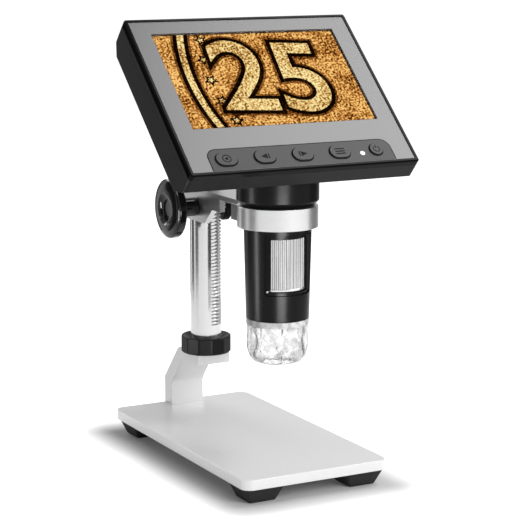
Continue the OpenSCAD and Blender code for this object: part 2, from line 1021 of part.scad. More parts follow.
module led_board() {
    color("green")
        at_head()
            translate([0, 0, barrel_low - board_t])
                difference() {
                    cylinder(r = spigot_r - spigot_wall - tight_gap, h = board_t);
                    translate([0, 0, -over])
                        cylinder(r = cell_r + side_gap, h = board_t + 2 * over);
                }
}

led_count = 8;

module leds() {
    color("white")
        at_head()
            for (i = [0 : led_count - 1])
                rotate([0, 0, (i + 0.5) * 360 / led_count])
                    translate([led_ring_r, 0, barrel_low - board_t - led_h])
                        cylinder(r = led_r, h = led_h);
}

// Clear cap: straight at first, then drawn in to its mouth
module clear_cap() {
    straight = cap_l * 0.55;
    curve = cap_l - straight;
    mouth = cap_mouth_d / 2;
    function bend_r(t) = mouth + (cap_r - mouth) * sqrt(1 - t * t);
    color("lightcyan", 0.5)
        at_head()
            rotate_extrude($fn = 96)
                polygon([
                    [cap_r, barrel_low],
                    for (t = [0 : 0.125 : 0.875]) [bend_r(t), barrel_low - straight - t * curve],
                    [mouth, cap_low], [mouth - cap_wall, cap_low],
                    for (t = [0.875 : -0.125 : 0])
                        [bend_r(t) - cap_wall, barrel_low - straight - t * curve],
                    [cap_r - cap_wall, barrel_low]
                ]);
}

module sensor_board() {
    color("green")
        at_head()
            translate([0, 0, sensor_z])
                cylinder(r = bore_r - tight_gap, h = board_t);
}

module image_sensor() {
    side = 8;
    chip_t = 1.4;
    color("dimgray")
        translate([-side / 2, head_y - side / 2, sensor_z - chip_t])
            cube([side, side, chip_t]);
}

cable_w = 8;
cable_t = 0.4;

// Flat cable from the sensor up to the back of the main board
module camera_cable() {
    color("chocolate")
        difference() {
            translate([-cable_w / 2, head_y - cable_t / 2, sensor_z + board_t])
                cube([cable_w, cable_t, disp_z - sensor_z]);
            at_display()
                translate([-far / 2, -far + board_back, -far / 2])
                    cube([far, far, far]);
        }
}

// ---------- display ----------

module front_frame() {
    color("black")
        at_display()
            difference() {
                union() {
                    slab(0, frame_t)
                        round_rect(disp_w, disp_h, corner_r);
                    at_bosses()
                        rod_y(boss_r, frame_t - over, boss_end);
                }
                slab(-over, over + panel_back)
                    round_rect(disp_w - 2 * rim_w, disp_h - 2 * rim_w, inner_corner_r);
                slab(-over, frame_t + 2 * over)
                    round_rect(disp_w - 2 * ledge_w, disp_h - 2 * ledge_h, 1);
                at_bosses()
                    rod_y(screw_r, frame_t - 0.4, boss_end + over);
            }
}

// Screw bosses near the four corners of the housing
module at_bosses() {
    mirror_x()
        for (z = [-1, 1])
            translate([boss_x, 0, z * boss_z])
                children();
}

// Places of the five buttons along the strip
button_x = [for (i = [-2 : 2]) i * button_pitch];

module at_button(i) {
    translate([button_x[i], 0, -button_down])
        children();
}

module button_outline(i, grow) {
    if (i == 4)
        circle(power_d / 2 + grow);
    else
        oval(button_w + 2 * grow, button_h + 2 * grow);
}

module button_holes(y, t) {
    for (i = [0 : 4])
        at_button(i)
            slab(y, t)
                button_outline(i, button_play);
    translate([pipe_x, 0, -button_down - 1.5])
        rod_y(1.25, y, y + t);
}

module front_panel() {
    color("gray")
        at_display()
            difference() {
                slab(panel_front, panel_t)
                    round_rect(disp_w - 2 * rim_w - 0.1, disp_h - 2 * rim_w - 0.1, inner_corner_r);
                translate([0, 0, screen_up])
                    slab(-1, panel_back + 2)
                        square([screen_w + 1.6, screen_h + 1.6], center = true);
                translate([0, 0, -button_down])
                    slab(-1, strip_front + strip_t + 1)
                        round_rect(strip_w + 0.1, strip_h + 0.1, 3);
                button_holes(-1, panel_back + 2);
            }
}

module button_strip() {
    color("dimgray")
        at_display()
            difference() {
                translate([0, 0, -button_down])
                    slab(strip_front, strip_t)
                        round_rect(strip_w, strip_h, 3);
                button_holes(-1, panel_back + 2);
            }
}

module screen_glass() {
    color("lightcyan", 0.4)
        at_display()
            translate([0, 0, screen_up])
                slab(panel_front + 0.1, panel_t - 0.1)
                    square([screen_w + 1.56, screen_h + 1.56], center = true);
}

module lcd_module() {
    color("darkslategray")
        at_display()
            translate([0, 0, screen_up])
                slab(panel_back, lcd_t)
                    square([lcd_w, lcd_h], center = true);
}

// A button cap through the panel, its flange and its plunger
module button(i) {
    at_display()
        at_button(i) {
            slab(-button_proud, panel_back + button_proud + seat_gap)
                button_outline(i, 0);
            slab(panel_back + seat_gap, flange_t)
                button_outline(i, flange_w);
            rod_y(1.4, panel_back, board_front - switch_t - button_travel - seat_gap);
        }
}

module select_button() {
    color("gray")
        button(0);
}

module left_button() {
    color("gray")
        button(1);
}

module right_button() {
    color("gray")
        button(2);
}

module menu_button() {
    color("gray")
        button(3);
}

module power_button() {
    color("gray")
        button(4);
}

module light_pipe() {
    color("white")
        at_display()
            translate([pipe_x, 0, -button_down - 1.5]) {
                rod_y(1.2, panel_front - 0.2, panel_back);
                rod_y(1.8, panel_back, board_front);
            }
}

module main_board() {
    color("darkgreen")
        at_display()
            translate([0, 0, -board_down])
                slab(board_front, board_t)
                    square([board_w, board_h], center = true);
}

module tact_switches() {
    color("silver")
        at_display()
            for (i = [0 : 4])
                at_button(i) {
                    slab(board_front - switch_t + 0.9, switch_t - 0.9)
                        square(switch_w, center = true);
                    rod_y(1.7, board_front - switch_t, board_front - 1);
                }
}

module battery() {
    color("steelblue")
        at_display()
            translate([0, 0, disp_h / 2 - battery_down])
                slab(panel_back + lcd_t, battery_t)
                    square([battery_w, battery_h], center = true);
}

// Sockets on the back of the board, open towards the shell's right wall
side_in = disp_w / 2 - shell_wall;
socket_l = 12;
socket_wall = 0.5;

module socket(z, w, t) {
    end = side_in + shell_wall - 0.8;
    difference() {
        translate([end - socket_l / 2, 0, z])
            slab(board_back, t)
                square([socket_l, w], center = true);
        translate([end - socket_l / 2 + 2, 0, z])
            slab(board_back + socket_wall, t - 2 * socket_wall)
                square([socket_l, w - 2 * socket_wall], center = true);
    }
}

module usb_socket() {
    color("silver")
        at_display()
            socket(usb_z, usb_w, usb_t);
}

module card_socket() {
    color("silver")
        at_display()
            socket(card_z, card_w, card_t);
}

dimmer_x = disp_w / 2 - dimmer_r;
dimmer_front = panel_back + lcd_t + 2;

module at_dimmer() {
    translate([dimmer_x, 0, dimmer_z])
        children();
}

module dimmer_wheel() {
    color("black")
        at_display()
            at_dimmer()
                translate([0, dimmer_front + dimmer_t, 0])
                    rotate([90, 0, 0])
                        difference() {
                            linear_extrude(dimmer_t)
                                ribbed(dimmer_r, dimmer_r - 0.4, 30);
                            translate([0, 0, -1])
                                cylinder(r = 1 + run_gap, h = dimmer_t + 2);
                        }
}

module dimmer_body() {
    color("dimgray")
        at_display()
            intersection() {
                at_dimmer() {
                    rod_y(1, dimmer_front + seat_gap, dimmer_front + dimmer_t + 1);
                    translate([-2, 0, 0])
                        slab(dimmer_front + dimmer_t + side_gap, depth_high)
                            square([10, 9], center = true);
                }
                housing_solid(shell_wall + 0.02);
            }
}

module rear_shell() {
    color("black")
        difference() {
            at_display()
                difference() {
                    union() {
                        difference() {
                            housing_solid(0);
                            housing_solid(shell_wall);
                            slab(-1, frame_t + 2)
                                round_rect(disp_w - 2 * shell_wall,
                                           disp_h - 2 * shell_wall, 1);
                        }
                        intersection() {
                            housing_solid(shell_wall / 4);
                            union() {
                                at_bosses()
                                    rod_y(boss_r, boss_end + tight_gap, far);
                                at_board_posts()
                                    rod_y(post_r, board_back, far);
                            }
                        }
                    }
                    at_bosses() {
                        rod_y(screw_r + seat_gap, 0, far);
                        rod_y(screw_cap_r + seat_gap, screw_hole, far);
                    }
                    side_openings();
                }
            at_head()
                translate([0, 0, neck_low])
                    cylinder(r = cable_hole_r, h = far);
        }
}

post_r = 2;
screw_cap_r = 1.8;

// Posts that the main board rests on, near its corners
module at_board_posts() {
    mirror_x()
        for (z = [-1, 1])
            translate([board_w / 2 - 7, 0, z * (board_h / 2 - 6) - board_down])
                children();
}

// A cut through the right wall, centred at height z
module wall_cut(z, y, t, w) {
    translate([disp_w / 2, 0, z])
        slab(y - side_gap, t + 2 * side_gap)
            square([4 * shell_wall, w + 2 * side_gap], center = true);
}

// Openings in the right wall for the two sockets and the dimmer wheel
module side_openings() {
    wall_cut(usb_z, board_back, usb_t, usb_w);
    wall_cut(card_z, board_back, card_t, card_w);
    wall_cut(dimmer_z, dimmer_front, dimmer_t, 2 * dimmer_r);
}

module shell_screws() {
    color("dimgray")
        at_display()
            at_bosses() {
                rod_y(screw_r - run_gap, frame_t, screw_hole);
                rod_y(screw_cap_r, screw_hole, screw_hole + 1.4);
            }
}

base_plate();
rubber_feet();
foot_screws();
bracket();
bracket_screws();
column();
column_bolt();
column_cap();
lock_collar();
carriage();
pinion_bush();
pinion();
focus_knob();
knob_screw();
lock_knob();
lock_pad();
ring_clamp();
arm_screws();
pinch_screw();
barrel_shell();
neck_shell();
focus_wheel();
wheel_retainer();
lens_cell();
front_lens();
rear_lens();
led_board();
leds();
clear_cap();
sensor_board();
image_sensor();
camera_cable();
front_frame();
front_panel();
button_strip();
screen_glass();
lcd_module();
select_button();
left_button();
right_button();
menu_button();
power_button();
light_pipe();
main_board();
tact_switches();
battery();
usb_socket();
card_socket();
dimmer_wheel();
dimmer_body();
rear_shell();
shell_screws();
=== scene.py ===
# %% [markdown]
# # A desktop microscope with a screen
# The real object is an aluminium stand, a black camera barrel in a ring clamp, and a tilted screen housing.
# All its pieces already exist as solid parts of the right size, which we load first. Our job is the finish:
# broken edges, rubber, satin metal, clear plastic, a lit screen. Every piece stays where its part is, so we
# read places from the loaded parts instead of typing them.

# %% Load the parts
import json
from math import atan2, cos, degrees, hypot, pi, radians, sin, sqrt, tau

import bmesh
import bpy
from mathutils import Matrix, Vector


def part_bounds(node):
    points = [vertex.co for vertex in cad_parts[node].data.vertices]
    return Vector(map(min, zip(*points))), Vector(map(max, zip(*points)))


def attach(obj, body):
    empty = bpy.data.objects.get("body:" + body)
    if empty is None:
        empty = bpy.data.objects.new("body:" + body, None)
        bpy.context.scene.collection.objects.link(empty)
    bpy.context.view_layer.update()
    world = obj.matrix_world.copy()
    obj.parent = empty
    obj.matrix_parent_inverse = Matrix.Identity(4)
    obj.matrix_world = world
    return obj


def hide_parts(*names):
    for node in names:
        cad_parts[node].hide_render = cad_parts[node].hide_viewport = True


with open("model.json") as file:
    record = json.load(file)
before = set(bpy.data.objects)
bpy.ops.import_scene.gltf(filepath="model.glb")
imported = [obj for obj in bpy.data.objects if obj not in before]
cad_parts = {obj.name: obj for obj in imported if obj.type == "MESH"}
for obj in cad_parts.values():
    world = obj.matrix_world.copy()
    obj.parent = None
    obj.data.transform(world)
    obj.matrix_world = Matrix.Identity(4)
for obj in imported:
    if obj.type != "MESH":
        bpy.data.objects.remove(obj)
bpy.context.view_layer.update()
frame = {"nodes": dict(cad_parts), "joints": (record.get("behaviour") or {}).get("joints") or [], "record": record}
MM = 0.001

# %% [markdown]
# ## Places worked out from the parts
# We model in millimetres and shrink each piece to metres when it is done, so that a size reads as on a
# drawing. A part's box gives its axis and its ends. The screen leans back, and the direction in which a
# button is pressed tells us by how much.


# %% Places
def part_box(node):
    """Lowest and highest corner of a part, in millimetres."""
    lowest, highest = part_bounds(node)
    return lowest / MM, highest / MM


barrel_box = part_box("barrel_shell")
ring_box = part_box("ring_clamp")
frame_box = part_box("front_frame")
head_y = (barrel_box[0].y + barrel_box[1].y) / 2
ring_low, ring_top = ring_box[0].z, ring_box[1].z
press = next(joint["axis"] for joint in frame["joints"] if joint["name"] == "left_press")
lean = atan2(-press[2], press[1])
face_h = 96
face_w = frame_box[1].x - frame_box[0].x
disp_z = frame_box[1].z - face_h / 2 * cos(lean)
disp_y = frame_box[0].y + face_h / 2 * sin(lean)
print("head axis y:", round(head_y, 2), "lean:", round(degrees(lean), 2), "face:", round(face_w, 1))


def at(x=0, y=0, z=0):
    """Puts a piece that was modelled round the origin at a place of the object."""
    return Matrix.Scale(MM, 4) @ Matrix.Translation((x, y, z))


# On the screen's face x runs to the right, y up the face, and z out of it towards the user
FACE = at(0, disp_y, disp_z) @ Matrix.Rotation(-lean, 4, "X") @ Matrix.Rotation(pi / 2, 4, "X")

# %% [markdown]
# ## Camera
# The camera stands to the left and a little above, about a metre away, with a long lens. A long lens keeps
# the column and the barrel nearly parallel.

# %% Camera
camera_place = Vector((-411.0, -785.7, 260.9)) * MM
camera_down = radians(10.36)
camera_turn = radians(-28.10)
bpy.ops.object.camera_add(location=camera_place, rotation=(pi / 2 - camera_down, 0, camera_turn))
camera = bpy.context.object
camera.data.lens = 128.7
camera.data.sensor_width = 36
bpy.context.scene.camera = camera
bpy.context.scene.view_settings.view_transform = "Standard"

# %% [markdown]
# ## Node helpers
# A finish is a small network of nodes. `add_node` makes one node and fills its inputs, each with a plain
# value or with a link from another node's output. `mapped` and `combined` are the two sums we need most.


# %% Node helpers
def grey(level):
    return (level, level, level)


def add_node(tree, kind, inputs=None, **settings):
    """A new node; each input gets a plain value or another node's output."""
    node = tree.nodes.new("ShaderNode" + kind)
    for key, value in settings.items():
        setattr(node, key, value)
    for key, value in (inputs or {}).items():
        if isinstance(value, bpy.types.NodeSocket):
            tree.links.new(value, node.inputs[key])
        else:
            node.inputs[key].default_value = value
    return node


def mapped(tree, value, low, high, start=0.0, end=1.0, curve="LINEAR"):
    """Maps start..end to low..high."""
    inputs = {"Value": value, "From Min": start, "From Max": end, "To Min": low, "To Max": high}
    return add_node(tree, "MapRange", inputs, interpolation_type=curve).outputs["Result"]


def combined(tree, operation, a, b, clamp=False):
    """A sum, difference or product; each side is a number or a node's output."""
    return add_node(tree, "Math", {0: a, 1: b}, operation=operation, use_clamp=clamp).outputs[0]


def own_shader(name):
    """A new material without its standard shader, and its tree."""
    mat = bpy.data.materials.new(name)
    mat.use_nodes = True
    mat.node_tree.nodes.remove(mat.node_tree.nodes["Principled BSDF"])
    return mat, mat.node_tree


def to_surface(tree, shader):
    tree.links.new(shader.outputs[0], tree.nodes["Material Output"].inputs["Surface"])


# %% [markdown]
# ## White room
# The background is plain white where the camera, a mirror or clear plastic sees it, but it lights the object
# less than that. The Light Path node tells these rays apart.


# %% Room
def seen_directly(tree):
    """1 for rays from the camera, a reflection or clear plastic, 0 for rays that light the object."""
    path = add_node(tree, "LightPath")
    seen = path.outputs["Is Camera Ray"]
    for ray in ("Is Glossy Ray", "Is Transmission Ray"):
        seen = combined(tree, "ADD", seen, path.outputs[ray], clamp=True)
    return seen


ambient = 0.32
world = bpy.data.worlds.new("white_room")
bpy.context.scene.world = world
world.use_nodes = True
room_tree = world.node_tree
backdrop = room_tree.nodes["Background"]
backdrop.inputs["Color"].default_value = (*grey(1), 1)
room_tree.links.new(mapped(room_tree, seen_directly(room_tree), ambient, 1), backdrop.inputs["Strength"])

# %% [markdown]
# The floor uses the same trick: a little glow lifts it to white, and the shadow stays. The glow grows from
# the base plate's outline outwards. Under the plate there is next to none, so the contact shadow stays dark;
# the weaker glow near the plate also paints a soft shade round it.

# %% Floor
floor_grey = 0.5
glow_near, glow_far, glow_width = 0.04, 0.9, 0.026
plate_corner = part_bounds("base_plate")[1]
plate_half = (plate_corner.x, plate_corner.y, 0)
bpy.ops.mesh.primitive_plane_add(size=30)
floor = bpy.context.object
floor.name = "floor"
floor_paint, floor_tree = own_shader("floor_paint")
# Fold the four quarters into one, take the plate off, and what is left is the way past its edge
past_edge = add_node(floor_tree, "TexCoord").outputs["Object"]
for step, amount in (("ABSOLUTE", (0, 0, 0)), ("SUBTRACT", plate_half), ("MAXIMUM", (0, 0, 0))):
    past_edge = add_node(floor_tree, "VectorMath", {0: past_edge, 1: amount}, operation=step).outputs[0]
distance = add_node(floor_tree, "VectorMath", {0: past_edge}, operation="LENGTH").outputs["Value"]
# Less glow near the plate's outline paints a soft shade round the base
rise = mapped(floor_tree, distance, glow_near, glow_far, 0, glow_width, "SMOOTHSTEP")
matt = add_node(floor_tree, "BsdfDiffuse", {"Color": (*grey(floor_grey), 1)})
strength = combined(floor_tree, "MULTIPLY", rise, seen_directly(floor_tree))
glow = add_node(floor_tree, "Emission", {"Strength": strength})
to_surface(floor_tree, add_node(floor_tree, "AddShader", {0: matt.outputs[0], 1: glow.outputs[0]}))
floor.data.materials.append(floor_paint)

# %% [markdown]
# ## Lamps
# A broad key lamp stands front right, so the faces towards the user are the brightest. A large panel overhead
# gives the screen's grey panel its sheen. Black plastic is drawn by what it reflects: two low strips make the
# barrel's soft streaks, and a small spot lights the height knob. These three shine on the black pieces only,
# because on the metal they would be far too bright.

# %% Lamps
black_pieces = bpy.data.collections.new("black_pieces")
camera_side = camera_turn - pi / 2
head_middle = (0, head_y, 130)


def stand_at(angle, distance, height, look):
    """A place, its angle counted to the right of the camera, and the turn that looks at a point in mm."""
    target = Vector(look) * MM
    way = camera_side + radians(angle)
    place = Vector((target.x + distance * cos(way), target.y + distance * sin(way), height))
    return place, (target - place).to_track_quat("-Z", "Y").to_euler()


def lamp(name, angle, distance, height, width, tall, power):
    place, turn = stand_at(angle, distance, height, head_middle)
    bpy.ops.object.light_add(type="AREA", location=place, rotation=turn)
    obj = bpy.context.object
    obj.name = name
    obj.data.shape = "RECTANGLE"
    obj.data.size = width
    obj.data.size_y = tall
    obj.data.energy = power
    obj.visible_camera = False
    return obj


# Degrees from the camera; distance, height, width and tallness in metres; power in watts
lamp("key", 42, 0.9, 0.62, 0.5, 0.5, 7.6)
lamp("fill", -60, 1.1, 0.5, 0.5, 0.7, 0.12)
lamp("overhead", 106, 0.62, 0.9, 0.6, 0.7, 7.0)
lamp("back", -140, 1.0, 0.66, 0.5, 0.35, 3.6)
for black_only in (lamp("front_strip", 14, 0.3, 0.03, 0.15, 0.13, 3.2),
                   lamp("left_strip", -76, 0.3, 0.03, 0.05, 0.14, 0.9),
                   lamp("knob_spot", -66, 0.28, 0.36, 0.09, 0.09, 0.45)):
    black_only.light_linking.receiver_collection = black_pieces

# %% [markdown]
# Metal in a white room looks like paper. A photographer hangs grey cards round it, and so do we: they are
# seen in reflections only, where they put the soft grey bands on the ring and the column.

# %% Cards
card_h, card_lift = 0.26, 0.005


def card(name, angle, distance, width, level):
    card_middle = card_h / 2 + card_lift
    place, turn = stand_at(angle, distance, card_middle, (0, head_y / 2, card_middle / MM))
    bpy.ops.mesh.primitive_plane_add(size=1, location=place, rotation=turn)
    obj = bpy.context.object
    obj.name = name
    obj.scale = (width, card_h, 1)
    paint, tree = own_shader(name + "_paint")
    to_surface(tree, add_node(tree, "Emission", {"Color": (*grey(level), 1)}))
    obj.data.materials.append(paint)
    for ray in ("camera", "diffuse", "transmission", "volume_scatter", "shadow"):
        setattr(obj, "visible_" + ray, False)


# Degrees from the camera; distance and width in metres; how bright
card("card_left", -74, 0.4, 0.19, 0.14)
card("card_left_far", -112, 0.4, 0.19, 0.06)
card("card_behind_left", -150, 0.4, 0.2, 0.3)
card("card_behind_right", 118, 0.4, 0.34, 0.16)
card("card_behind", 168, 0.5, 0.5, 0.6)

# %% [markdown]
# ## Finishes
# Every finish starts as one Principled shader with its plain colour and gloss. `grain` then adds what the
# real surface has: a fine noise that moves the tone, the gloss and the height a little. Its size is given in
# millimetres, and a stretch turns it into brushing. It reads Object coordinates, so it stays on the piece.


# %% Finish helpers
def finish(name, colour, roughness, **sockets):
    """A new material with one Principled shader; more sockets are given by their names."""
    mat = bpy.data.materials.new(name)
    mat.use_nodes = True
    shader = mat.node_tree.nodes["Principled BSDF"]
    shader.inputs["Base Color"].default_value = (*colour, 1)
    shader.inputs["Roughness"].default_value = roughness
    for key, value in sockets.items():
        shader.inputs[key.replace("_", " ")].default_value = value
    return mat


def noise_of(tree, size, detail, stretch=(1, 1, 1), shift=(0, 0, 0)):
    """A noise on Object coordinates, with lumps of a size in mm."""
    place = add_node(tree, "TexCoord").outputs["Object"]
    scale = [1 / (size * MM * s) for s in stretch]
    mapping = add_node(tree, "Mapping", {"Vector": place, "Location": shift, "Scale": scale})
    noise = add_node(tree, "TexNoise", {"Vector": mapping.outputs["Vector"], "Scale": 1, "Detail": detail})
    return noise.outputs["Fac"]


def blended(tree, first, second, factor):
    inputs = {"A": (*first, 1), "B": (*second, 1), "Factor": factor}
    return add_node(tree, "Mix", inputs, data_type="RGBA").outputs["Result"]


def grain(mat, size, bump=0.0, tone=0.0, rough=0.0, stretch=(1, 1, 1)):
    """Adds a noise of one size, in mm, to the height, the tone and the gloss of a material."""
    tree = mat.node_tree
    sockets = tree.nodes["Principled BSDF"].inputs
    noise = noise_of(tree, size, 3, stretch)
    if bump:
        height = add_node(tree, "Bump", {"Strength": bump, "Distance": size * MM / 4, "Height": noise})
        tree.links.new(height.outputs["Normal"], sockets["Normal"])
    if tone:
        colour = Vector(sockets["Base Color"].default_value[:3])
        tree.links.new(blended(tree, colour * (1 - tone), colour * (1 + tone), noise), sockets["Base Color"])
    if rough:
        gloss = sockets["Roughness"].default_value
        tree.links.new(mapped(tree, noise, gloss - rough, gloss + rough), sockets["Roughness"])
    return mat


# %% [markdown]
# The stand is blasted and anodised aluminium: metallic, soft, with a fine even grain. The column is ground,
# so its grain runs round it. The black plastics differ only in gloss and in the size of their texture.


# %% Metals and plastics
def metal(name, level, roughness, metallic, *grains):
    return grain(finish(name, grey(level), roughness, Metallic=metallic), *grains)


def plastic(name, level, roughness, shine, *grains):
    return grain(finish(name, grey(level), roughness, Specular_IOR_Level=shine), *grains)


# Tone, roughness, how metallic or shiny; the grain's size in mm and its share of height, tone and gloss
plate_metal = metal("plate_metal", 0.73, 0.34, 0.5, 0.5, 0.2, 0.05, 0.06)
bracket_metal = metal("bracket_metal", 0.56, 0.34, 0.5, 0.5, 0.25, 0.06, 0.06)
arm_metal = metal("arm_metal", 0.58, 0.32, 0.85, 0.45, 0.2, 0.06, 0.06)
ring_metal = metal("ring_metal", 0.6, 0.3, 0.95, 0.4, 0.2, 0.06, 0.06, (4, 4, 1))
column_metal = metal("column_metal", 0.6, 0.16, 0.8, 0.3, 0.1, 0.04, 0.04, (12, 12, 1))
screw_metal = metal("screw_metal", 0.4, 0.35, 1.0, 0.3, 0.1, 0.05, 0.05)
gear_metal = metal("gear_metal", 0.45, 0.35, 1.0, 0.3, 0.1, 0.05, 0.05)
brass = grain(finish("brass", (0.7, 0.47, 0.2), 0.3, Metallic=1.0), 0.3, 0.1, 0.06, 0.05)
wheel_metal = metal("wheel_metal", 0.48, 0.26, 1.0, 1.0, 0.1, 0.5, 0.06, (1, 1, 30))
socket_metal = metal("socket_metal", 0.55, 0.28, 1.0, 0.3, 0.08, 0.05, 0.05)
rubber = plastic("rubber", 0.025, 0.62, 0.25, 0.4, 0.5, 0.2, 0.08)
collar_black = plastic("collar_black", 0.003, 0.3, 0.07, 0.3, 0.12, 0.2, 0.06)
knob_black = plastic("knob_black", 0.002, 0.13, 0.22, 0.5, 0.03, 0.2, 0.03)
barrel_black = plastic("barrel_black", 0.002, 0.28, 0.07, 0.25, 0.1, 0.2, 0.04)
shell_black = plastic("shell_black", 0.003, 0.38, 0.08, 0.35, 0.25, 0.2, 0.06)
rim_black = plastic("rim_black", 0.001, 0.1, 0.06, 0.3, 0.03, 0.2, 0.04)
panel_grey = metal("panel_grey", 0.088, 0.32, 0.3, 0.3, 0.06, 0.05, 0.05)
strip_grey = plastic("strip_grey", 0.042, 0.42, 0.18, 0.3, 0.08, 0.06, 0.05)
button_grey = plastic("button_grey", 0.043, 0.42, 0.18, 0.25, 0.1, 0.06, 0.05)
ink = plastic("ink", 0.006, 0.5, 0.05, 0.2, 0.05, 0.2, 0.05)
line_black = plastic("line_black", 0.002, 0.5, 0.05, 0.2, 0.05, 0.2, 0.05)
nylon = grain(finish("nylon", grey(0.72), 0.45), 0.4, 0.1, 0.04, 0.05)
board_green = grain(finish("board_green", (0.02, 0.13, 0.05), 0.35), 1.2, 0.08, 0.25, 0.08)
chip_dark = grain(finish("chip_dark", grey(0.02), 0.4), 0.3, 0.1, 0.2, 0.05)
flex_amber = grain(finish("flex_amber", (0.42, 0.17, 0.03), 0.3), 0.6, 0.05, 0.1, 0.05, (1, 1, 8))
cell_foil = metal("cell_foil", 0.45, 0.3, 0.8, 2.0, 0.2, 0.08, 0.08)
lcd_black = grain(finish("lcd_black", grey(0.004), 0.3), 0.4, 0.03, 0.2, 0.03)

# %% [markdown]
# Glass and clear plastic let light through. The pane over the screen has a coat against reflections, so its
# index of refraction is 1. The cap's moulded plastic is a little uneven. Its colour is painted greyer where we
# see it at a slant, which Layer Weight measures, as a painted shade at its edges. It is greyer in soft clouds
# too. Its upper end is ground matt. The lamps' white is a plastic that glows a little by itself.

# %% Clear finishes
pane_glass = finish("pane_glass", grey(1.0), 0.02, Transmission_Weight=1.0, IOR=1.0)
lens_glass = finish("lens_glass", (0.93, 0.97, 1.0), 0.01, Transmission_Weight=1.0, IOR=1.5)
led_white = grain(finish("led_white", grey(0.85), 0.25, Emission_Strength=0.35, Emission_Color=(1, 1, 1, 1)),
                  0.5, 0.05, 0.04, 0.05)

cap_box = part_box("clear_cap")
frost_h, frost_fade = 2.7, 0.4
wave_mm, cloud_mm = 3.0, 3.4
clear_tone, shade_and_cloud_tone = 0.99, 0.42
clear_rough, frost_rough = 0.03, 0.5
frost_clearness = 0.12


def frosted_cap():
    """Clear plastic with grey clouds and painted shade at a slant, ground matt in a band at its upper end."""
    mat = grain(finish("cap_clear", grey(0.98), 0.05, Transmission_Weight=1.0, IOR=1.42), wave_mm, 0.5)
    tree = mat.node_tree
    sockets = tree.nodes["Principled BSDF"].inputs
    # Painted shade: greyer where the surface is seen at a slant, plus random grey clouds
    slant = add_node(tree, "LayerWeight", {"Blend": 0.35}).outputs["Facing"]
    clouds = mapped(tree, noise_of(tree, cloud_mm, 1), 0.05, 0.6, 0.44, 0.6)
    slant_shade_and_clouds = combined(tree, "ADD", slant, clouds)
    tree.links.new(blended(tree, grey(clear_tone), grey(shade_and_cloud_tone), slant_shade_and_clouds), sockets["Base Color"])
    place = add_node(tree, "SeparateXYZ", {"Vector": add_node(tree, "TexCoord").outputs["Object"]})
    frost_from = cap_box[1].z - frost_h
    fade_from = frost_from - frost_fade
    band = mapped(tree, place.outputs["Z"], 0, 1, fade_from * MM, frost_from * MM, "SMOOTHSTEP")
    tree.links.new(mapped(tree, band, clear_rough, frost_rough), sockets["Roughness"])
    tree.links.new(mapped(tree, band, 1.0, frost_clearness), sockets["Transmission Weight"])
    return mat


cap_clear = frosted_cap()

# %% [markdown]
# ## Modelling helpers
# Blender's operators act on the selection, so each helper first makes one object the only selected one.
# `pick_edges` selects edges by a test on their place.

# %% Selection
near = 0.01  # how close counts as the same place


def only(obj):
    if bpy.context.mode != "OBJECT":
        bpy.ops.object.mode_set(mode="OBJECT")
    bpy.ops.object.select_all(action="DESELECT")
    obj.select_set(True)
    bpy.context.view_layer.objects.active = obj


def start_edit(obj):
    """Edit mode with everything selected."""
    only(obj)
    bpy.ops.object.mode_set(mode="EDIT")
    bpy.ops.mesh.select_mode(type="VERT")
    bpy.ops.mesh.select_all(action="SELECT")


def end_edit():
    bpy.ops.object.mode_set(mode="OBJECT")


def pick_edges(obj, test):
    """Selects, in edit mode, each edge that passes the test."""
    bpy.ops.mesh.select_mode(type="EDGE")
    bpy.ops.mesh.select_all(action="DESELECT")
    shape = bmesh.from_edit_mesh(obj.data)
    for edge in shape.edges:
        if test(edge):
            edge.select_set(True)
    shape.select_flush_mode()
    bmesh.update_edit_mesh(obj.data)


# %% [markdown]
# `lathe` draws a profile point by point and spins it round the Z axis, which is how turned and moulded round
# pieces are made.


# %% Drawing and spinning
def arc(x, z, radius, start, end, steps):
    """Points on an arc, angles in degrees."""
    angles = [radians(start + (end - start) * i / steps) for i in range(steps + 1)]
    return [(x + radius * cos(a), z + radius * sin(a)) for a in angles]


def draw_line(points, upright):
    """Draws a chain of points in the XZ plane, or flat in the XY plane; it stays selected in edit mode."""
    bpy.ops.mesh.primitive_plane_add(size=1)
    obj = bpy.context.object
    start_edit(obj)
    bpy.ops.mesh.merge(type="CENTER")

    def step(a, b):
        return (a, 0, b) if upright else (a, b, 0)

    bpy.ops.transform.translate(value=step(*points[0]))
    for (xa, ya), (xb, yb) in zip(points, points[1:]):
        bpy.ops.mesh.extrude_vertices_move(TRANSFORM_OT_translate={"value": step(xb - xa, yb - ya)})
    bpy.ops.mesh.select_all(action="SELECT")
    return obj


def clean(obj):
    """Merges doubles and turns the faces outwards."""
    start_edit(obj)
    bpy.ops.mesh.remove_doubles(threshold=0.001)
    bpy.ops.mesh.normals_make_consistent(inside=False)
    end_edit()
    return obj


def lathe(profile, steps=96):
    """Spins a profile of (radius, height) points round Z."""
    obj = draw_line(profile, upright=True)
    bpy.ops.mesh.spin(steps=steps, angle=tau, center=(0, 0, 0), axis=(0, 0, 1))
    end_edit()
    return clean(obj)


def slab(points, low, high):
    """A flat outline, filled and extruded from one height to another."""
    obj = draw_line(points, upright=False)
    bpy.ops.mesh.edge_face_add()
    bpy.ops.transform.translate(value=(0, 0, low))
    bpy.ops.mesh.extrude_region_move(TRANSFORM_OT_translate={"value": (0, 0, high - low)})
    end_edit()
    return clean(obj)


def round_rect(w, h, top_r, low_r=None, x=0, y=0, steps=6):
    """Outline of a rectangle with round corners; the lower ones may have another radius."""
    low_r = top_r if low_r is None else low_r
    points = []
    for cx, cy, r, start in ((1, 1, top_r, 0), (-1, 1, top_r, 90), (-1, -1, low_r, 180), (1, -1, low_r, 270)):
        points += arc(x + cx * (w / 2 - r), y + cy * (h / 2 - r), r, start, start + 90, steps)
    return points


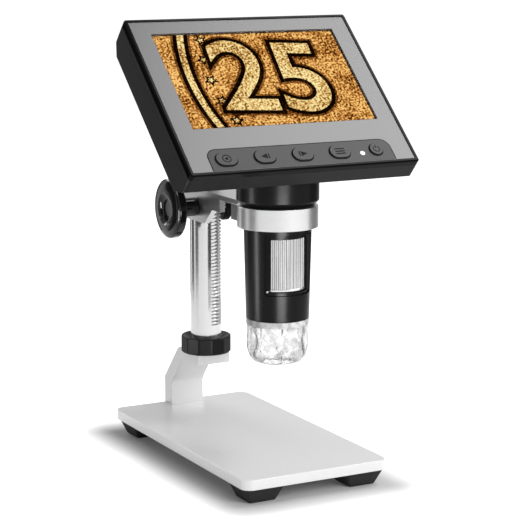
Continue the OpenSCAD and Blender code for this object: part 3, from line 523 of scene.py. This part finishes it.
def oval(w, h, x=0, y=0, steps=14):
    """Outline of two half circles joined by straight lines."""
    right = arc(x + (w - h) / 2, y, h / 2, -90, 90, steps)
    left = arc(x - (w - h) / 2, y, h / 2, 90, 270, steps)
    return right + left


# %% [markdown]
# Modifiers do what is tedious by hand: `soften` bevels every sharp edge, and `cut` takes one shape out of
# another.


# %% Modifiers
def apply(obj, kind, **settings):
    only(obj)
    modifier = obj.modifiers.new(kind.lower(), kind)
    for key, value in settings.items():
        setattr(modifier, key, value)
    bpy.ops.object.modifier_apply(modifier=modifier.name)
    return obj


def soften(obj, width, segments=2, angle=35):
    """Rounds every edge sharper than an angle."""
    return apply(obj, "BEVEL", width=width, segments=segments, limit_method="ANGLE",
                 angle_limit=radians(angle))


def cut(obj, tool):
    """Takes one shape out of another and throws the tool away."""
    apply(obj, "BOOLEAN", operation="DIFFERENCE", solver="EXACT", object=tool)
    bpy.data.objects.remove(tool)
    return obj


# %% [markdown]
# `settle` is the last step of every piece. It moves the mesh to its place, smooths it, paints it, hangs it on
# the body of the mechanism that carries it, and hides the plain part it stands for, if it stands for one.
# `eased` takes a part whose shape is right, merges its loose triangles and rounds its edges: a real machined
# edge is never perfectly sharp, and the thin bright line along it is what makes metal look like metal.


def body_of(node):
    return next(name for name, nodes in frame["record"]["behaviour"]["bodies"].items() if node in nodes)


def settle(obj, name, mat, place, node, stands_for=True, angle=32):
    """Puts a finished piece where it belongs; node is the part that it replaces, or belongs to."""
    obj.name = name
    obj.data.name = name
    obj.data.transform(place @ obj.matrix_world)
    obj.matrix_world = Matrix.Identity(4)
    only(obj)
    bpy.ops.object.shade_smooth_by_angle(angle=radians(angle))
    apply(obj, "WEIGHTED_NORMAL", keep_sharp=True, weight=100)
    obj.data.materials.clear()
    obj.data.materials.append(mat)
    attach(obj, body_of(node))
    if stands_for:
        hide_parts(node)
    if mat.name.endswith("_black"):
        black_pieces.objects.link(obj)
    return obj


def eased(node, mat, width=0.25, segments=2, angle=35, first_cut=None):
    """A copy of a part with its edges rounded; first_cut may shape it before that, in edit mode."""
    source = frame["nodes"][node]
    obj = bpy.data.objects.new(node, source.data.copy())
    bpy.context.collection.objects.link(obj)
    obj.data.transform(Matrix.Scale(1 / MM, 4))
    only(obj)
    bpy.ops.mesh.customdata_custom_splitnormals_clear()
    start_edit(obj)
    bpy.ops.mesh.remove_doubles(threshold=0.002)
    bpy.ops.mesh.dissolve_limited(angle_limit=radians(0.5))
    if first_cut:
        first_cut(obj)
    end_edit()
    soften(obj, width, segments, angle)
    return settle(obj, "eased_" + node, mat, at(), node)


def dress(mat, *nodes):
    """Keeps parts as they are and paints them."""
    for part in [frame["nodes"][node] for node in nodes]:
        for slot in part.material_slots:
            slot.material = mat
        if mat.name.endswith("_black"):
            black_pieces.objects.link(part)


# %% [markdown]
# ## Base, feet and bracket
# The base is a flat plate with round corners and a broken edge. A foot is a block of rubber that narrows to
# the floor: we extrude a square upwards, widen its top, round the edges and drill the hole for its screw.

# %% Base plate and feet
eased("base_plate", plate_metal, 0.55, 3)

feet_box = part_box("rubber_feet")
foot_top, foot_low = 20, 13.6
foot_h = feet_box[1].z - feet_box[0].z
foot_x = feet_box[1].x - foot_top / 2
foot_y = feet_box[1].y - foot_top / 2
foot_corner, foot_edge = 1.1, 0.5
head_hole_r, head_hole_deep, screw_hole_r = 2.9, 2.4, 1.65
past = 1  # how far a cutting tool reaches past the faces it cuts


def foot():
    bpy.ops.mesh.primitive_plane_add(size=foot_low)
    obj = bpy.context.object
    start_edit(obj)
    bpy.ops.mesh.extrude_region_move(TRANSFORM_OT_translate={"value": (0, 0, foot_h)})
    widen = foot_top / foot_low
    bpy.ops.transform.resize(value=(widen, widen, 1), center_override=(0, 0, 0))
    pick_edges(obj, lambda e: abs(e.verts[0].co.z - e.verts[1].co.z) > foot_h / 2)
    bpy.ops.mesh.bevel(offset=foot_corner, segments=4)
    pick_edges(obj, lambda e: max(v.co.z for v in e.verts) < near)
    bpy.ops.mesh.bevel(offset=foot_edge, segments=3)
    end_edit()
    clean(obj)
    drill = [(0, -past), (head_hole_r, -past), (head_hole_r, head_hole_deep), (screw_hole_r, head_hole_deep)]
    drill += [(screw_hole_r, foot_h + past), (0, foot_h + past)]
    return cut(obj, lathe(drill, 32))


for i, (side, end) in enumerate(((-1, -1), (1, -1), (-1, 1), (1, 1))):
    settle(foot(), f"rubber_foot_{i + 1}", rubber, at(side * foot_x, end * foot_y, 0), "rubber_feet")
dress(screw_metal, "foot_screws", "bracket_screws")
print("feet at", round(foot_x, 1), round(foot_y, 1))

# %% [markdown]
# The bracket was cut from one bar, so an eased copy is all it needs. The column keeps its milled grooves as
# they are. The collar at its foot is a black twelve-sided nut with a funnel in its top.

# %% Bracket and column
eased("bracket", bracket_metal, 0.4, 3)
dress(column_metal, "column")
dress(screw_metal, "column_bolt")
eased("column_cap", collar_black, 0.4, 3)
eased("lock_collar", collar_black, 0.22, 2, 20)

# %% [markdown]
# ## Carriage and knobs
# The arm, the ring and their screws are machined, so they are eased copies too. The height knob is turned:
# a dished disc on a hub. We draw half of its section, spin it, and drill the hole for its grub screw.

# %% Carriage
eased("carriage", arm_metal, 0.35)
eased("ring_clamp", ring_metal, 0.35, 3)
dress(brass, "pinion_bush")
dress(gear_metal, "pinion")
dress(nylon, "lock_pad")
eased("arm_screws", screw_metal, 0.12)
eased("pinch_screw", screw_metal, 0.12)
eased("lock_knob", collar_black, 0.08)

# %% Height knob
knob_box = part_box("focus_knob")
knob_r = (knob_box[1].z - knob_box[0].z) / 2
knob_y = (knob_box[0].y + knob_box[1].y) / 2
knob_z = (knob_box[0].z + knob_box[1].z) / 2
knob_t, hub_r, hub_l = 5.4, 4.7, 11.4
dish_r, dish_floor_r, dish_slope = 8.2, 3.6, 48
crest_w, crown_h, knob_edge, hub_edge = 0.4, 1.9, 1.0, 0.5
shaft_r, grub_r = 2.02, 1.3
crown_steps = 14


def focus_knob():
    """Its section runs from the dish over the crown to the hub."""
    slope = radians(dish_slope)
    bowl_r = (dish_r - dish_floor_r) / sin(slope)
    bowl_deep = bowl_r * (1 - cos(slope))
    crown_r = knob_r - dish_r - crest_w
    hub_end = knob_t + hub_l
    profile = [(0, bowl_deep)] + arc(dish_floor_r, bowl_deep - bowl_r, bowl_r, 90, 90 - dish_slope, 16)
    for i in range(1, crown_steps + 1):
        t = pi / 2 * i / crown_steps
        profile.append((dish_r + crest_w + crown_r * sin(t), crown_h * (1 - cos(t))))
    profile += arc(knob_r - knob_edge, knob_t - knob_edge, knob_edge, 0, 90, 8)
    profile += [(hub_r + hub_edge, knob_t), (hub_r, knob_t + hub_edge)]
    profile += [(hub_r, hub_end - hub_edge), (hub_r - hub_edge, hub_end)]
    profile += [(shaft_r, hub_end), (shaft_r, knob_t), (0, knob_t)]
    obj = lathe(profile, 128)
    hole = lathe([(0, 0), (grub_r, 0), (grub_r, hub_r + past), (0, hub_r + past)], 24)
    sideways = Matrix.Rotation(-pi / 2, 4, "Y")
    hole.data.transform(Matrix.Translation((0, 0, knob_t + hub_l / 2)) @ sideways)
    return cut(obj, hole)


along_x = Matrix.Rotation(pi / 2, 4, "Y")
knob_place = at(knob_box[0].x, knob_y, knob_z) @ along_x
settle(focus_knob(), "height_knob_turned", knob_black, knob_place, "focus_knob")
eased("knob_screw", screw_metal, 0.1)

# %% [markdown]
# ## Barrel
# The barrel is a thin tube that widens upwards. Its window is cut twice: a shallow pocket makes the stepped
# frame, and a smaller cut goes right through to the focus wheel. Both tools are sectors of a ring with
# rounded corners, spun only part of the way.

# %% Barrel
spigot_h, spigot_wall = 3, 1.4
barrel_foot = barrel_box[0].z + spigot_h
barrel_top_r, barrel_low_r, barrel_edge = 15.95, 14.9, 0.35
spigot_r = barrel_low_r - 1.65
wheel_box = part_box("focus_wheel")
wheel_r = (wheel_box[1].x - wheel_box[0].x) / 2
bore_r = wheel_r + 0.25
low_bore_r = bore_r - 1.3
ledge = wheel_box[0].z - 0.1
barrel_floor_t, light_hole_r = 1.5, 6.85
window_down, window_h, window_angle, window_corner = 13.8, 25.6, 94, 1.2
window_low = ring_top - window_down - window_h
window_top = window_low + window_h
through_angle = window_angle - 6
pocket_border, pocket_r, pocket_corner = 1.5, 14.35, 1.6


def window_tool(inner, low, high, angle, corner):
    """Part of a ring, centred on the front, with rounded corners."""
    outer = barrel_top_r + 4
    obj = draw_line([(inner, low), (outer, low), (outer, high), (inner, high)], upright=True)
    bpy.ops.mesh.edge_face_add()
    bpy.ops.mesh.spin(steps=10, angle=radians(angle), center=(0, 0, 0), axis=(0, 0, 1))
    end_edit()
    clean(obj)

    def bearing(point):
        return atan2(point.y, point.x)

    ends = [bearing(v.co) for v in obj.data.vertices]
    first, last = min(ends), max(ends)

    def corner_edge(edge):
        a, b = [v.co for v in edge.verts]
        runs_outwards = abs((a - b).xy.length - outer + inner) < near
        way = bearing((a + b) / 2)
        return runs_outwards and min(abs(way - first), abs(way - last)) < near

    start_edit(obj)
    pick_edges(obj, corner_edge)
    bpy.ops.mesh.bevel(offset=corner, segments=5)
    end_edit()
    obj.data.transform(Matrix.Rotation(-pi / 2 - (first + last) / 2, 4, "Z"))
    return obj


def barrel():
    """Its section goes up the outside and down the bore."""
    z, top = barrel_foot, barrel_box[1].z
    floor_z, spigot_bore_r = z + barrel_floor_t, spigot_r - spigot_wall
    profile = [(spigot_bore_r, z - spigot_h), (spigot_r, z - spigot_h), (spigot_r, z)]
    profile += arc(barrel_low_r - barrel_edge, z + barrel_edge, barrel_edge, -90, 0, 4)
    profile += [(barrel_top_r, ring_low), (barrel_top_r, top), (bore_r, top)]
    profile += [(bore_r, ledge), (low_bore_r, ledge), (low_bore_r, floor_z), (light_hole_r, floor_z)]
    profile += [(light_hole_r, z), (spigot_bore_r, z), profile[0]]
    obj = lathe(profile, 128)
    pocket_low, pocket_top = window_low - pocket_border, window_top + pocket_border
    pocket_angle = window_angle + 2 * degrees(pocket_border / barrel_low_r)
    cut(obj, window_tool(pocket_r, pocket_low, pocket_top, pocket_angle, pocket_corner))
    cut(obj, window_tool(low_bore_r + 0.3, window_low, window_top, through_angle, window_corner))
    return soften(obj, 0.22, 2, 40)


settle(barrel(), "barrel_moulded", barrel_black, at(0, head_y, 0), "barrel_shell")
eased("neck_shell", barrel_black, 0.35, 3)
eased("focus_wheel", wheel_metal, 0.12)
dress(collar_black, "wheel_retainer", "lens_cell")
print("window from", round(window_low, 1), "to", round(window_top, 1))

# %% [markdown]
# The focus wheel ends in a smooth bright rim below its ribs, and a small pin sits in the window's lower left
# corner.

# %% Wheel rim and pin
rim_up, rim_h, rim_out, rim_edge = 0.25, 1.0, 0.12, 0.15
rim_in_r, rim_out_r = wheel_r - 1.2, wheel_r + rim_out
wheel_rim = lathe([(rim_in_r, 0), (wheel_r, 0), (rim_out_r, rim_edge), (rim_out_r, rim_h - rim_edge),
                   (wheel_r, rim_h), (rim_in_r, rim_h), (rim_in_r, 0)])
settle(wheel_rim, "wheel_rim", column_metal, at(0, head_y, window_low + rim_up), "focus_wheel", False)
pin_r, pin_root, pin_out, pin_up = 0.6, 1.2, 0.25, 0.6
pin_way = radians(-90 - window_angle / 2)
pin = lathe([(0, -pin_root), (pin_r, -pin_root), (pin_r, pin_out)] + arc(0, pin_out, pin_r, 0, 90, 5), 20)
pin_x, pin_y = barrel_low_r * cos(pin_way), barrel_low_r * sin(pin_way)
pin_turn = Matrix.Rotation(pin_way, 4, "Z") @ along_x
pin_place = at(pin_x, head_y + pin_y, window_low + pin_up) @ pin_turn
settle(pin, "window_pin", wheel_metal, pin_place, "barrel_shell", False)

# %% [markdown]
# ## Clear cap and lamps
# The cap is a thick clear cup with an open mouth, straight at first and then drawn in. Its inner wall swells
# into rows of small lenses, one under each lamp, and they are what breaks the light up. We spin the cup and
# then push the inner wall's points inwards, each lens being half an ellipsoid.

# %% Clear cap
cap_r = (cap_box[1].x - cap_box[0].x) / 2
cap_l = cap_box[1].z - cap_box[0].z
cap_mouth_r, cap_wall, cap_step = 9.5, 1.5, 0.3
cap_straight = cap_l * 0.55
cap_rings = 14
lamp_count = 8
# Rows of lenses: shift in pitches, depth below the barrel, half width, half height, swelling
cap_lobes = [(0.0, 9.5, 4.2, 7.4, 1.3), (0.5, 15.5, 3.0, 2.6, 0.5), (0.5, 5.5, 1.4, 3.4, 1.0)]


def cap_radius(down):
    """Outer radius at a depth below the barrel."""
    if down <= cap_straight:
        return cap_r
    t = (down - cap_straight) / (cap_l - cap_straight)
    return cap_mouth_r + (cap_r - cap_mouth_r) * sqrt(max(0, 1 - t * t))


def lens_swelling(x, y, z):
    """How far the lenses push the inner wall inwards at a point."""
    pitch = tau / lamp_count
    push = 0
    for shift, down, half_w, half_h, swell in cap_lobes:
        way = (atan2(y, x) / pitch + shift + 0.5) % 1 - 0.5
        reach = (way * pitch * hypot(x, y) / half_w) ** 2 + ((z + down) / half_h) ** 2
        push += swell * sqrt(max(0, 1 - reach))
    return push


def clear_cap():
    outside = [(cap_r, 0), (cap_r, -frost_h), (cap_r - cap_step, -frost_h - cap_step)]
    first_ring = cap_straight / 2
    for i in range(cap_rings + 1):
        share = i / cap_rings
        down = first_ring + (cap_l - first_ring) * share
        outside.append((cap_radius(down) - cap_step * (1 - share), -down))
    inside = [(max(cap_mouth_r - cap_wall, x - cap_wall), z) for x, z in reversed(outside)]
    obj = lathe(outside + inside + [outside[0]], 144)
    for vert in obj.data.vertices:
        x, y, z = vert.co
        r = hypot(x, y)
        if r < cap_radius(-z) - cap_wall * 0.7 and cap_wall - cap_l < z < -frost_h:
            push = lens_swelling(x, y, z)
            vert.co.x -= x / r * push
            vert.co.y -= y / r * push
    return obj


settle(clear_cap(), "clear_cap_moulded", cap_clear, at(0, head_y, cap_box[1].z), "clear_cap", angle=50)
print("cap:", round(2 * cap_r, 1), "wide,", round(cap_l, 1), "long")

# %% [markdown]
# The lamps are small white bodies, each with a lens, in a ring on their board.

# %% Lamp ring
lamps_box = part_box("leds")
lamp_ring_r, lamp_r, lamp_edge = 9.2, 1.5, 0.1
lamp_h = lamps_box[1].z - lamps_box[0].z
lens_r, lens_up = 1.2, 0.8


def led():
    """A small white body with a domed lens, pointing down; the dome's tip is cut flat."""
    profile = [(0, lamp_h), (lamp_r - lamp_edge, lamp_h), (lamp_r, lamp_h - lamp_edge)]
    profile += [(lamp_r, lens_up + lamp_edge), (lamp_r - 0.25, lens_up)]
    profile += arc(0, lens_up, lens_r, 0, -90, 6)
    return lathe([(max(0, x), max(0.0, z)) for x, z in profile], 24)


for i in range(lamp_count):
    way = (i + 0.5) * tau / lamp_count
    place = at(lamp_ring_r * cos(way), head_y + lamp_ring_r * sin(way), lamps_box[0].z)
    settle(led(), f"led_{i + 1}", led_white, place, "leds")
dress(board_green, "led_board", "sensor_board")
dress(lens_glass, "front_lens", "rear_lens")
dress(chip_dark, "image_sensor")
dress(flex_amber, "camera_cable")

# %% [markdown]
# ## Screen housing
# The housing is two shells that meet in a seam all round. The front one is a narrow glossy rim with a small
# chamfer. What lies inside the housing keeps its plain shape and is only painted.

# %% Rim and rear shell
rim_chamfer, edge_band = 0.6, 1.7
on_face = FACE.inverted() @ Matrix.Scale(MM, 4)


def chamfer_rim(obj):
    """Slopes the rim's outer edge, all round its face."""
    def outer_edge(edge):
        ends = [on_face @ v.co for v in edge.verts]
        at_border = [abs(p.x) > face_w / 2 - edge_band or abs(p.y) > face_h / 2 - edge_band for p in ends]
        return all(abs(p.z) < near for p in ends) and all(at_border)

    pick_edges(obj, outer_edge)
    bpy.ops.mesh.bevel(offset=rim_chamfer, segments=1)


eased("front_frame", rim_black, 0.14, 2, 30, chamfer_rim)
eased("rear_shell", shell_black, 0.3, 3)
eased("shell_screws", screw_metal, 0.15)
eased("dimmer_wheel", collar_black, 0.1)
dress(socket_metal, "usb_socket", "card_socket")
dress(chip_dark, "dimmer_body", "tact_switches")
dress(lcd_black, "lcd_module")
dress(board_green, "main_board")
dress(cell_foil, "battery")

# %% [markdown]
# Inside the rim lies the grey panel, a plate with holes for the screen and the buttons. We draw its outline,
# extrude it, and cut the holes with simple tools. A darker strip carries the buttons, and a thin black line
# runs round it.

# %% Panel and button strip
rim_w, panel_gap = 1.8, 0.1
panel_w, panel_h = face_w - 2 * rim_w - panel_gap, face_h - 2 * rim_w - panel_gap
panel_front, panel_back, panel_corner = 0.4, 2.4, 0.6
picture_w, picture_h, picture_up = 95, 57.6, 8.8
window_gap, glass_corner = 0.8, 0.4
hole_w, hole_h = picture_w + 2 * window_gap, picture_h + 2 * window_gap
button_down, button_pitch = 39.6, 19.4
button_w, button_h, power_r = 10.2, 7.2, 3.2
play = 0.25
strip_w, strip_h, strip_top_corner, strip_low_corner = 94, 12.2, 4.6, 0.3
strip_front, strip_back = 0.3, 0.9
outline_w, outline_front, outline_back = 0.45, 0.35, 0.8
button_nodes = ["select_button", "left_button", "right_button", "menu_button", "power_button"]


def button_x(i):
    return (i - 2) * button_pitch


def button_shape(i, grow=0.0):
    """Outline of one button: four ovals and, at the end, the round power button."""
    w, h = (2 * power_r, 2 * power_r) if button_nodes[i] == "power_button" else (button_w, button_h)
    return oval(w + 2 * grow, h + 2 * grow, button_x(i), -button_down)


def cut_button_holes(obj, back):
    for i in range(len(button_nodes)):
        cut(obj, slab(button_shape(i, play), -back - past, past))
    return obj


def front_panel():
    obj = slab(round_rect(panel_w, panel_h, panel_corner), -panel_back, -panel_front)
    cut(obj, slab(round_rect(hole_w, hole_h, glass_corner, y=picture_up, steps=2), -panel_back - past, past))
    return soften(cut_button_holes(obj, panel_back), 0.18, 2, 40)


def button_strip(grow, front, back):
    """Round at the top, square where it runs into the panel's lower edge."""
    outline = round_rect(strip_w + 2 * grow, strip_h + grow, strip_top_corner + grow, strip_low_corner,
                         y=-button_down + grow / 2)
    return cut_button_holes(slab(outline, -back, -front), back)


settle(front_panel(), "panel_plate", panel_grey, FACE, "front_panel")
strip_plate = soften(button_strip(0, strip_front, strip_back), 0.12, 2, 40)
settle(strip_plate, "strip_plate", strip_grey, FACE, "button_strip")
strip_outline = button_strip(outline_w, outline_front, outline_back)
settle(strip_outline, "strip_outline", line_black, FACE, "button_strip", False)

# %% [markdown]
# ## Buttons
# Each button is a rubber oval that stands half a millimetre proud. A black line runs round it on the strip,
# and on top is a plain symbol: a dot in a ring, two arrows, three bars and the power sign. A symbol travels
# with its button. The indicator is the end of a small light pipe.

# %% Buttons
proud = 0.5
print_t, print_root = 0.06, 0.15
ring_line_w, ring_line_root = 0.28, 0.5

for i, node in enumerate(button_nodes):
    eased(node, button_grey, 0.14)
    line = slab(button_shape(i, play + ring_line_w), -ring_line_root, -strip_front + print_t)
    cut(line, slab(button_shape(i, play), -past, past))
    settle(line, f"button_line_{i + 1}", line_black, FACE, "button_strip", False)


def bar(w, h, x=0.0, y=0.0):
    return round_rect(w, h, min(w, h) / 2 - 0.01, x=x, y=y, steps=3)


def ring_part(radius, width, start, end, steps=28):
    """Outline of part of a ring."""
    return arc(0, 0, radius + width / 2, start, end, steps) + arc(0, 0, radius - width / 2, end, start, steps)


symbols = {
    "select_button": [oval(1.5, 1.5), ring_part(2.0, 0.45, 0, 350)],
    "left_button": [[(-2.1, 0), (1.0, -1.5), (1.0, 1.5)], bar(0.55, 3.0, 1.8)],
    "right_button": [[(2.1, 0), (-1.0, 1.5), (-1.0, -1.5)], bar(0.55, 3.0, -1.8)],
    "menu_button": [bar(5.2, 0.6, 0, 1.4), bar(5.2, 0.6), bar(5.2, 0.6, 0, -1.4)],
    "power_button": [ring_part(1.6, 0.42, 125, 415), bar(0.45, 1.9, 0, 1.3)],
}
for i, node in enumerate(button_nodes):
    for j, outline in enumerate(symbols[node]):
        mark = slab(outline, proud - print_root, proud + print_t)
        place = FACE @ Matrix.Translation((button_x(i), -button_down, 0))
        settle(mark, f"{node}_mark_{j + 1}", ink, place, node, False)

pipe_x, pipe_drop, pipe_r, pipe_flange_r, pipe_root, pipe_out = 31, 1.5, 1.2, 1.8, 8.2, 0.2
pipe_dome_r, pipe_dome_down, pipe_dome_from = 1.66, 1.35, 43
light_pipe = lathe([(0, -pipe_root), (pipe_flange_r, -pipe_root), (pipe_flange_r, -panel_back),
                    (pipe_r, -panel_back), (pipe_r, -pipe_out)]
                   + arc(0, -pipe_dome_down, pipe_dome_r, pipe_dome_from, 90, 6), 32)
pipe_place = FACE @ Matrix.Translation((pipe_x, -button_down - pipe_drop, 0))
settle(light_pipe, "indicator", led_white, pipe_place, "light_pipe")

# %% [markdown]
# ## Picture on the screen
# The screen shows a plain golden relief, much enlarged: a big number, a raised curved band and small stars on
# a rough ground. The relief is real geometry, but pressed nearly flat. Before we flatten it we note for each
# corner how far it faces a lamp at the upper left, in an attribute, and the glowing material turns that note
# into light and dark edges. So the picture looks the same from every side, as a picture on a screen does.

# %% Gold finish
speckle_mm, speckle_shift, speckle_strength = 1.1, 0.6, 2.5
patch_mm, patch_shift, patch_strength = 14, (3, 1, 2), 1.3


def picture_gold(name, dark, body, light, lift):
    """A glowing gold whose tone comes from the stored relief and two sizes of noise."""
    mat = finish(name, grey(0.0), 0.5, Specular_IOR_Level=0.0, Emission_Strength=1.0)
    tree = mat.node_tree
    lit_side = noise_of(tree, speckle_mm, 2)
    dark_side = noise_of(tree, speckle_mm, 2, shift=(speckle_shift, 0, -speckle_shift))
    speckle = combined(tree, "MULTIPLY", combined(tree, "SUBTRACT", lit_side, dark_side), speckle_strength)
    patches = combined(tree, "SUBTRACT", noise_of(tree, patch_mm, 2, shift=patch_shift), 0.5)
    roughness = combined(tree, "ADD", speckle, combined(tree, "MULTIPLY", patches, patch_strength))
    stored = add_node(tree, "Attribute", attribute_name="relief").outputs["Fac"]
    tone = combined(tree, "ADD", roughness, combined(tree, "ADD", stored, lift))
    ramp = add_node(tree, "ValToRGB", {"Fac": tone})
    first, last = ramp.color_ramp.elements
    first.color, first.position = (*dark, 1), 0.05
    last.color, last.position = (*light, 1), 1.0
    ramp.color_ramp.elements.new(0.55).color = (*body, 1)
    tree.links.new(ramp.outputs["Color"], tree.nodes["Principled BSDF"].inputs["Emission Color"])
    return mat


# The dark, middle and light end of each gold, and how far its tone is lifted
ground_gold = picture_gold("ground_gold", (0.05, 0.01, 0.0005), (0.53, 0.2, 0.035), (1.0, 0.62, 0.2), -0.02)
raised_gold = picture_gold("raised_gold", (0.14, 0.05, 0.006), (0.72, 0.42, 0.12), (1.0, 0.86, 0.42), 0.0)
shadow_gold = picture_gold("shadow_gold", (0.003, 0.001, 0), (0.012, 0.004, 0.001), (0.05, 0.02, 0.004), -0.5)
brown_gold = picture_gold("brown_gold", (0.02, 0.005, 0.0), (0.2, 0.07, 0.012), (0.36, 0.14, 0.03), -0.1)

# %% [markdown]
# Each raised shape lies on a slightly wider black copy of itself, like the shadow round a real relief. Under
# the number and the band lies a brown copy too.

# %% Relief pieces
sun = Vector((-0.45, 0.5, 0.74)).normalized()
flat_tone, flat_limit = 0.62, 0.98
picture_half = (picture_w / 2, picture_h / 2)
PICTURE = FACE @ Matrix.Translation((0, picture_up, -panel_back))
relief_h, shadow_h, brown_h, ground_h = 1.44, 1.36, 1.28, 1.2


def note_relief(obj, flat_height):
    """Stores how far each face corner looks to the sun, then presses the mesh nearly flat."""
    mesh = obj.data
    note = mesh.attributes.new("relief", "FLOAT", "CORNER")
    for polygon in mesh.polygons:
        level = polygon.normal.z > flat_limit
        value = flat_tone if level else max(0.0, polygon.normal.dot(sun))
        for corner in polygon.loop_indices:
            note.data[corner].value = value
    top = max(v.co.z for v in mesh.vertices)
    for vert in mesh.vertices:
        vert.co.z *= flat_height / top
    return obj


def trim(obj):
    """Cuts off what would run past the edge of the picture."""
    start_edit(obj)
    for axis, limit in enumerate(picture_half):
        for side in (-1, 1):
            place, way = [0, 0, 0], [0, 0, 0]
            place[axis] = side * limit
            way[axis] = side
            bpy.ops.mesh.select_all(action="SELECT")
            bpy.ops.mesh.bisect(plane_co=place, plane_no=way, clear_outer=True, use_fill=True)
    end_edit()
    return obj


def show(obj, name, mat, height):
    settle(note_relief(obj, height), name, mat, PICTURE, "lcd_module", False, angle=20)


ground_t = 0.1
bpy.ops.mesh.primitive_cube_add(size=1, scale=(picture_w, picture_h, ground_t))
ground = bpy.context.object
bpy.ops.object.transform_apply(location=False, rotation=False, scale=True)
ground.data.transform(Matrix.Translation((0, 0, ground_t / 2)))
start_edit(ground)
bpy.ops.mesh.subdivide(number_cuts=4)
end_edit()
show(ground, "picture_ground", ground_gold, ground_h)

# %% [markdown]
# The number is Blender's own text, thickened, rounded and turned into a mesh. An offset widens its copies.

# %% Number
number_size, number_tilt = 62, -4
number_x, number_y = 4, -1.5


def number(extrude, bevel, offset=0.0):
    """The plain number as a raised, rounded shape."""
    bpy.ops.object.text_add(location=(0, 0, 0))
    obj = bpy.context.object
    obj.data.body = "25"
    obj.data.size = number_size
    obj.data.align_x = "CENTER"
    obj.data.align_y = "CENTER"
    obj.data.extrude = extrude
    obj.data.bevel_depth = bevel
    obj.data.bevel_resolution = 3
    obj.data.offset = offset
    only(obj)
    bpy.ops.object.convert(target="MESH")
    obj = bpy.context.object
    tilt = Matrix.Rotation(radians(number_tilt), 4, "Z")
    obj.data.transform(Matrix.Translation((number_x, number_y, 0)) @ tilt)
    return clean(obj)


show(number(1.0, 1.6), "picture_number", raised_gold, relief_h)
show(number(0.3, 0.4, 2.6), "picture_number_shadow", shadow_gold, shadow_h)
show(trim(number(0.3, 0.4, 3.7)), "picture_number_halo", brown_gold, brown_h)

# %% [markdown]
# The band is part of a wide ring, and the stars stand along a smaller ring with the same middle. A star that
# would touch the picture's edge is left out.

# %% Band and stars
rings_x, band_r, star_ring_r = 58, 96, 86
ring_from, ring_to = 150, 210
star_places, star_room = 7, 3

for name, mat, width, height, level in (("picture_band", raised_gold, 4.2, 1.6, relief_h),
                                        ("picture_band_shadow", shadow_gold, 7.4, 0.4, shadow_h),
                                        ("picture_band_halo", brown_gold, 9.6, 0.4, brown_h)):
    band = slab(ring_part(band_r, width, ring_from, ring_to, 60), 0, height)
    band.data.transform(Matrix.Translation((rings_x, 0, 0)))
    if mat == raised_gold:
        soften(band, 1.2, 4)
    show(trim(band), name, mat, level)


def star(radius, x, y, turn):
    """Outline of a star with five points."""
    points = []
    for i in range(10):
        r = radius if i % 2 == 0 else radius * 0.45
        a = radians(turn + 90 + i * 36)
        points.append((x + r * cos(a), y + r * sin(a)))
    return points


for i in range(star_places):
    way = radians(ring_from + (ring_to - ring_from) * (i + 0.5) / star_places)
    x, y = rings_x + star_ring_r * cos(way), star_ring_r * sin(way)
    if abs(y) + star_room < picture_half[1]:
        turn = 12 * i
        raised_star = soften(slab(star(2.6, x, y, turn), 0, 1.2), 0.5, 3)
        show(raised_star, f"picture_star_{i + 1}", raised_gold, relief_h)
        show(slab(star(3.9, x, y, turn), 0, 0.4), f"picture_star_shadow_{i + 1}", shadow_gold, shadow_h)

# %% [markdown]
# The pane over the picture is a thin clear plate that fills the panel's window, a little below its face.

# %% Pane
pane_gap, pane_back = 0.1, 0.85
pane_outline = round_rect(hole_w - pane_gap, hole_h - pane_gap, glass_corner, y=picture_up, steps=2)
pane = slab(pane_outline, -pane_back, -panel_front - pane_gap)
settle(soften(pane, 0.1, 2, 40), "screen_pane", pane_glass, FACE, "screen_glass")
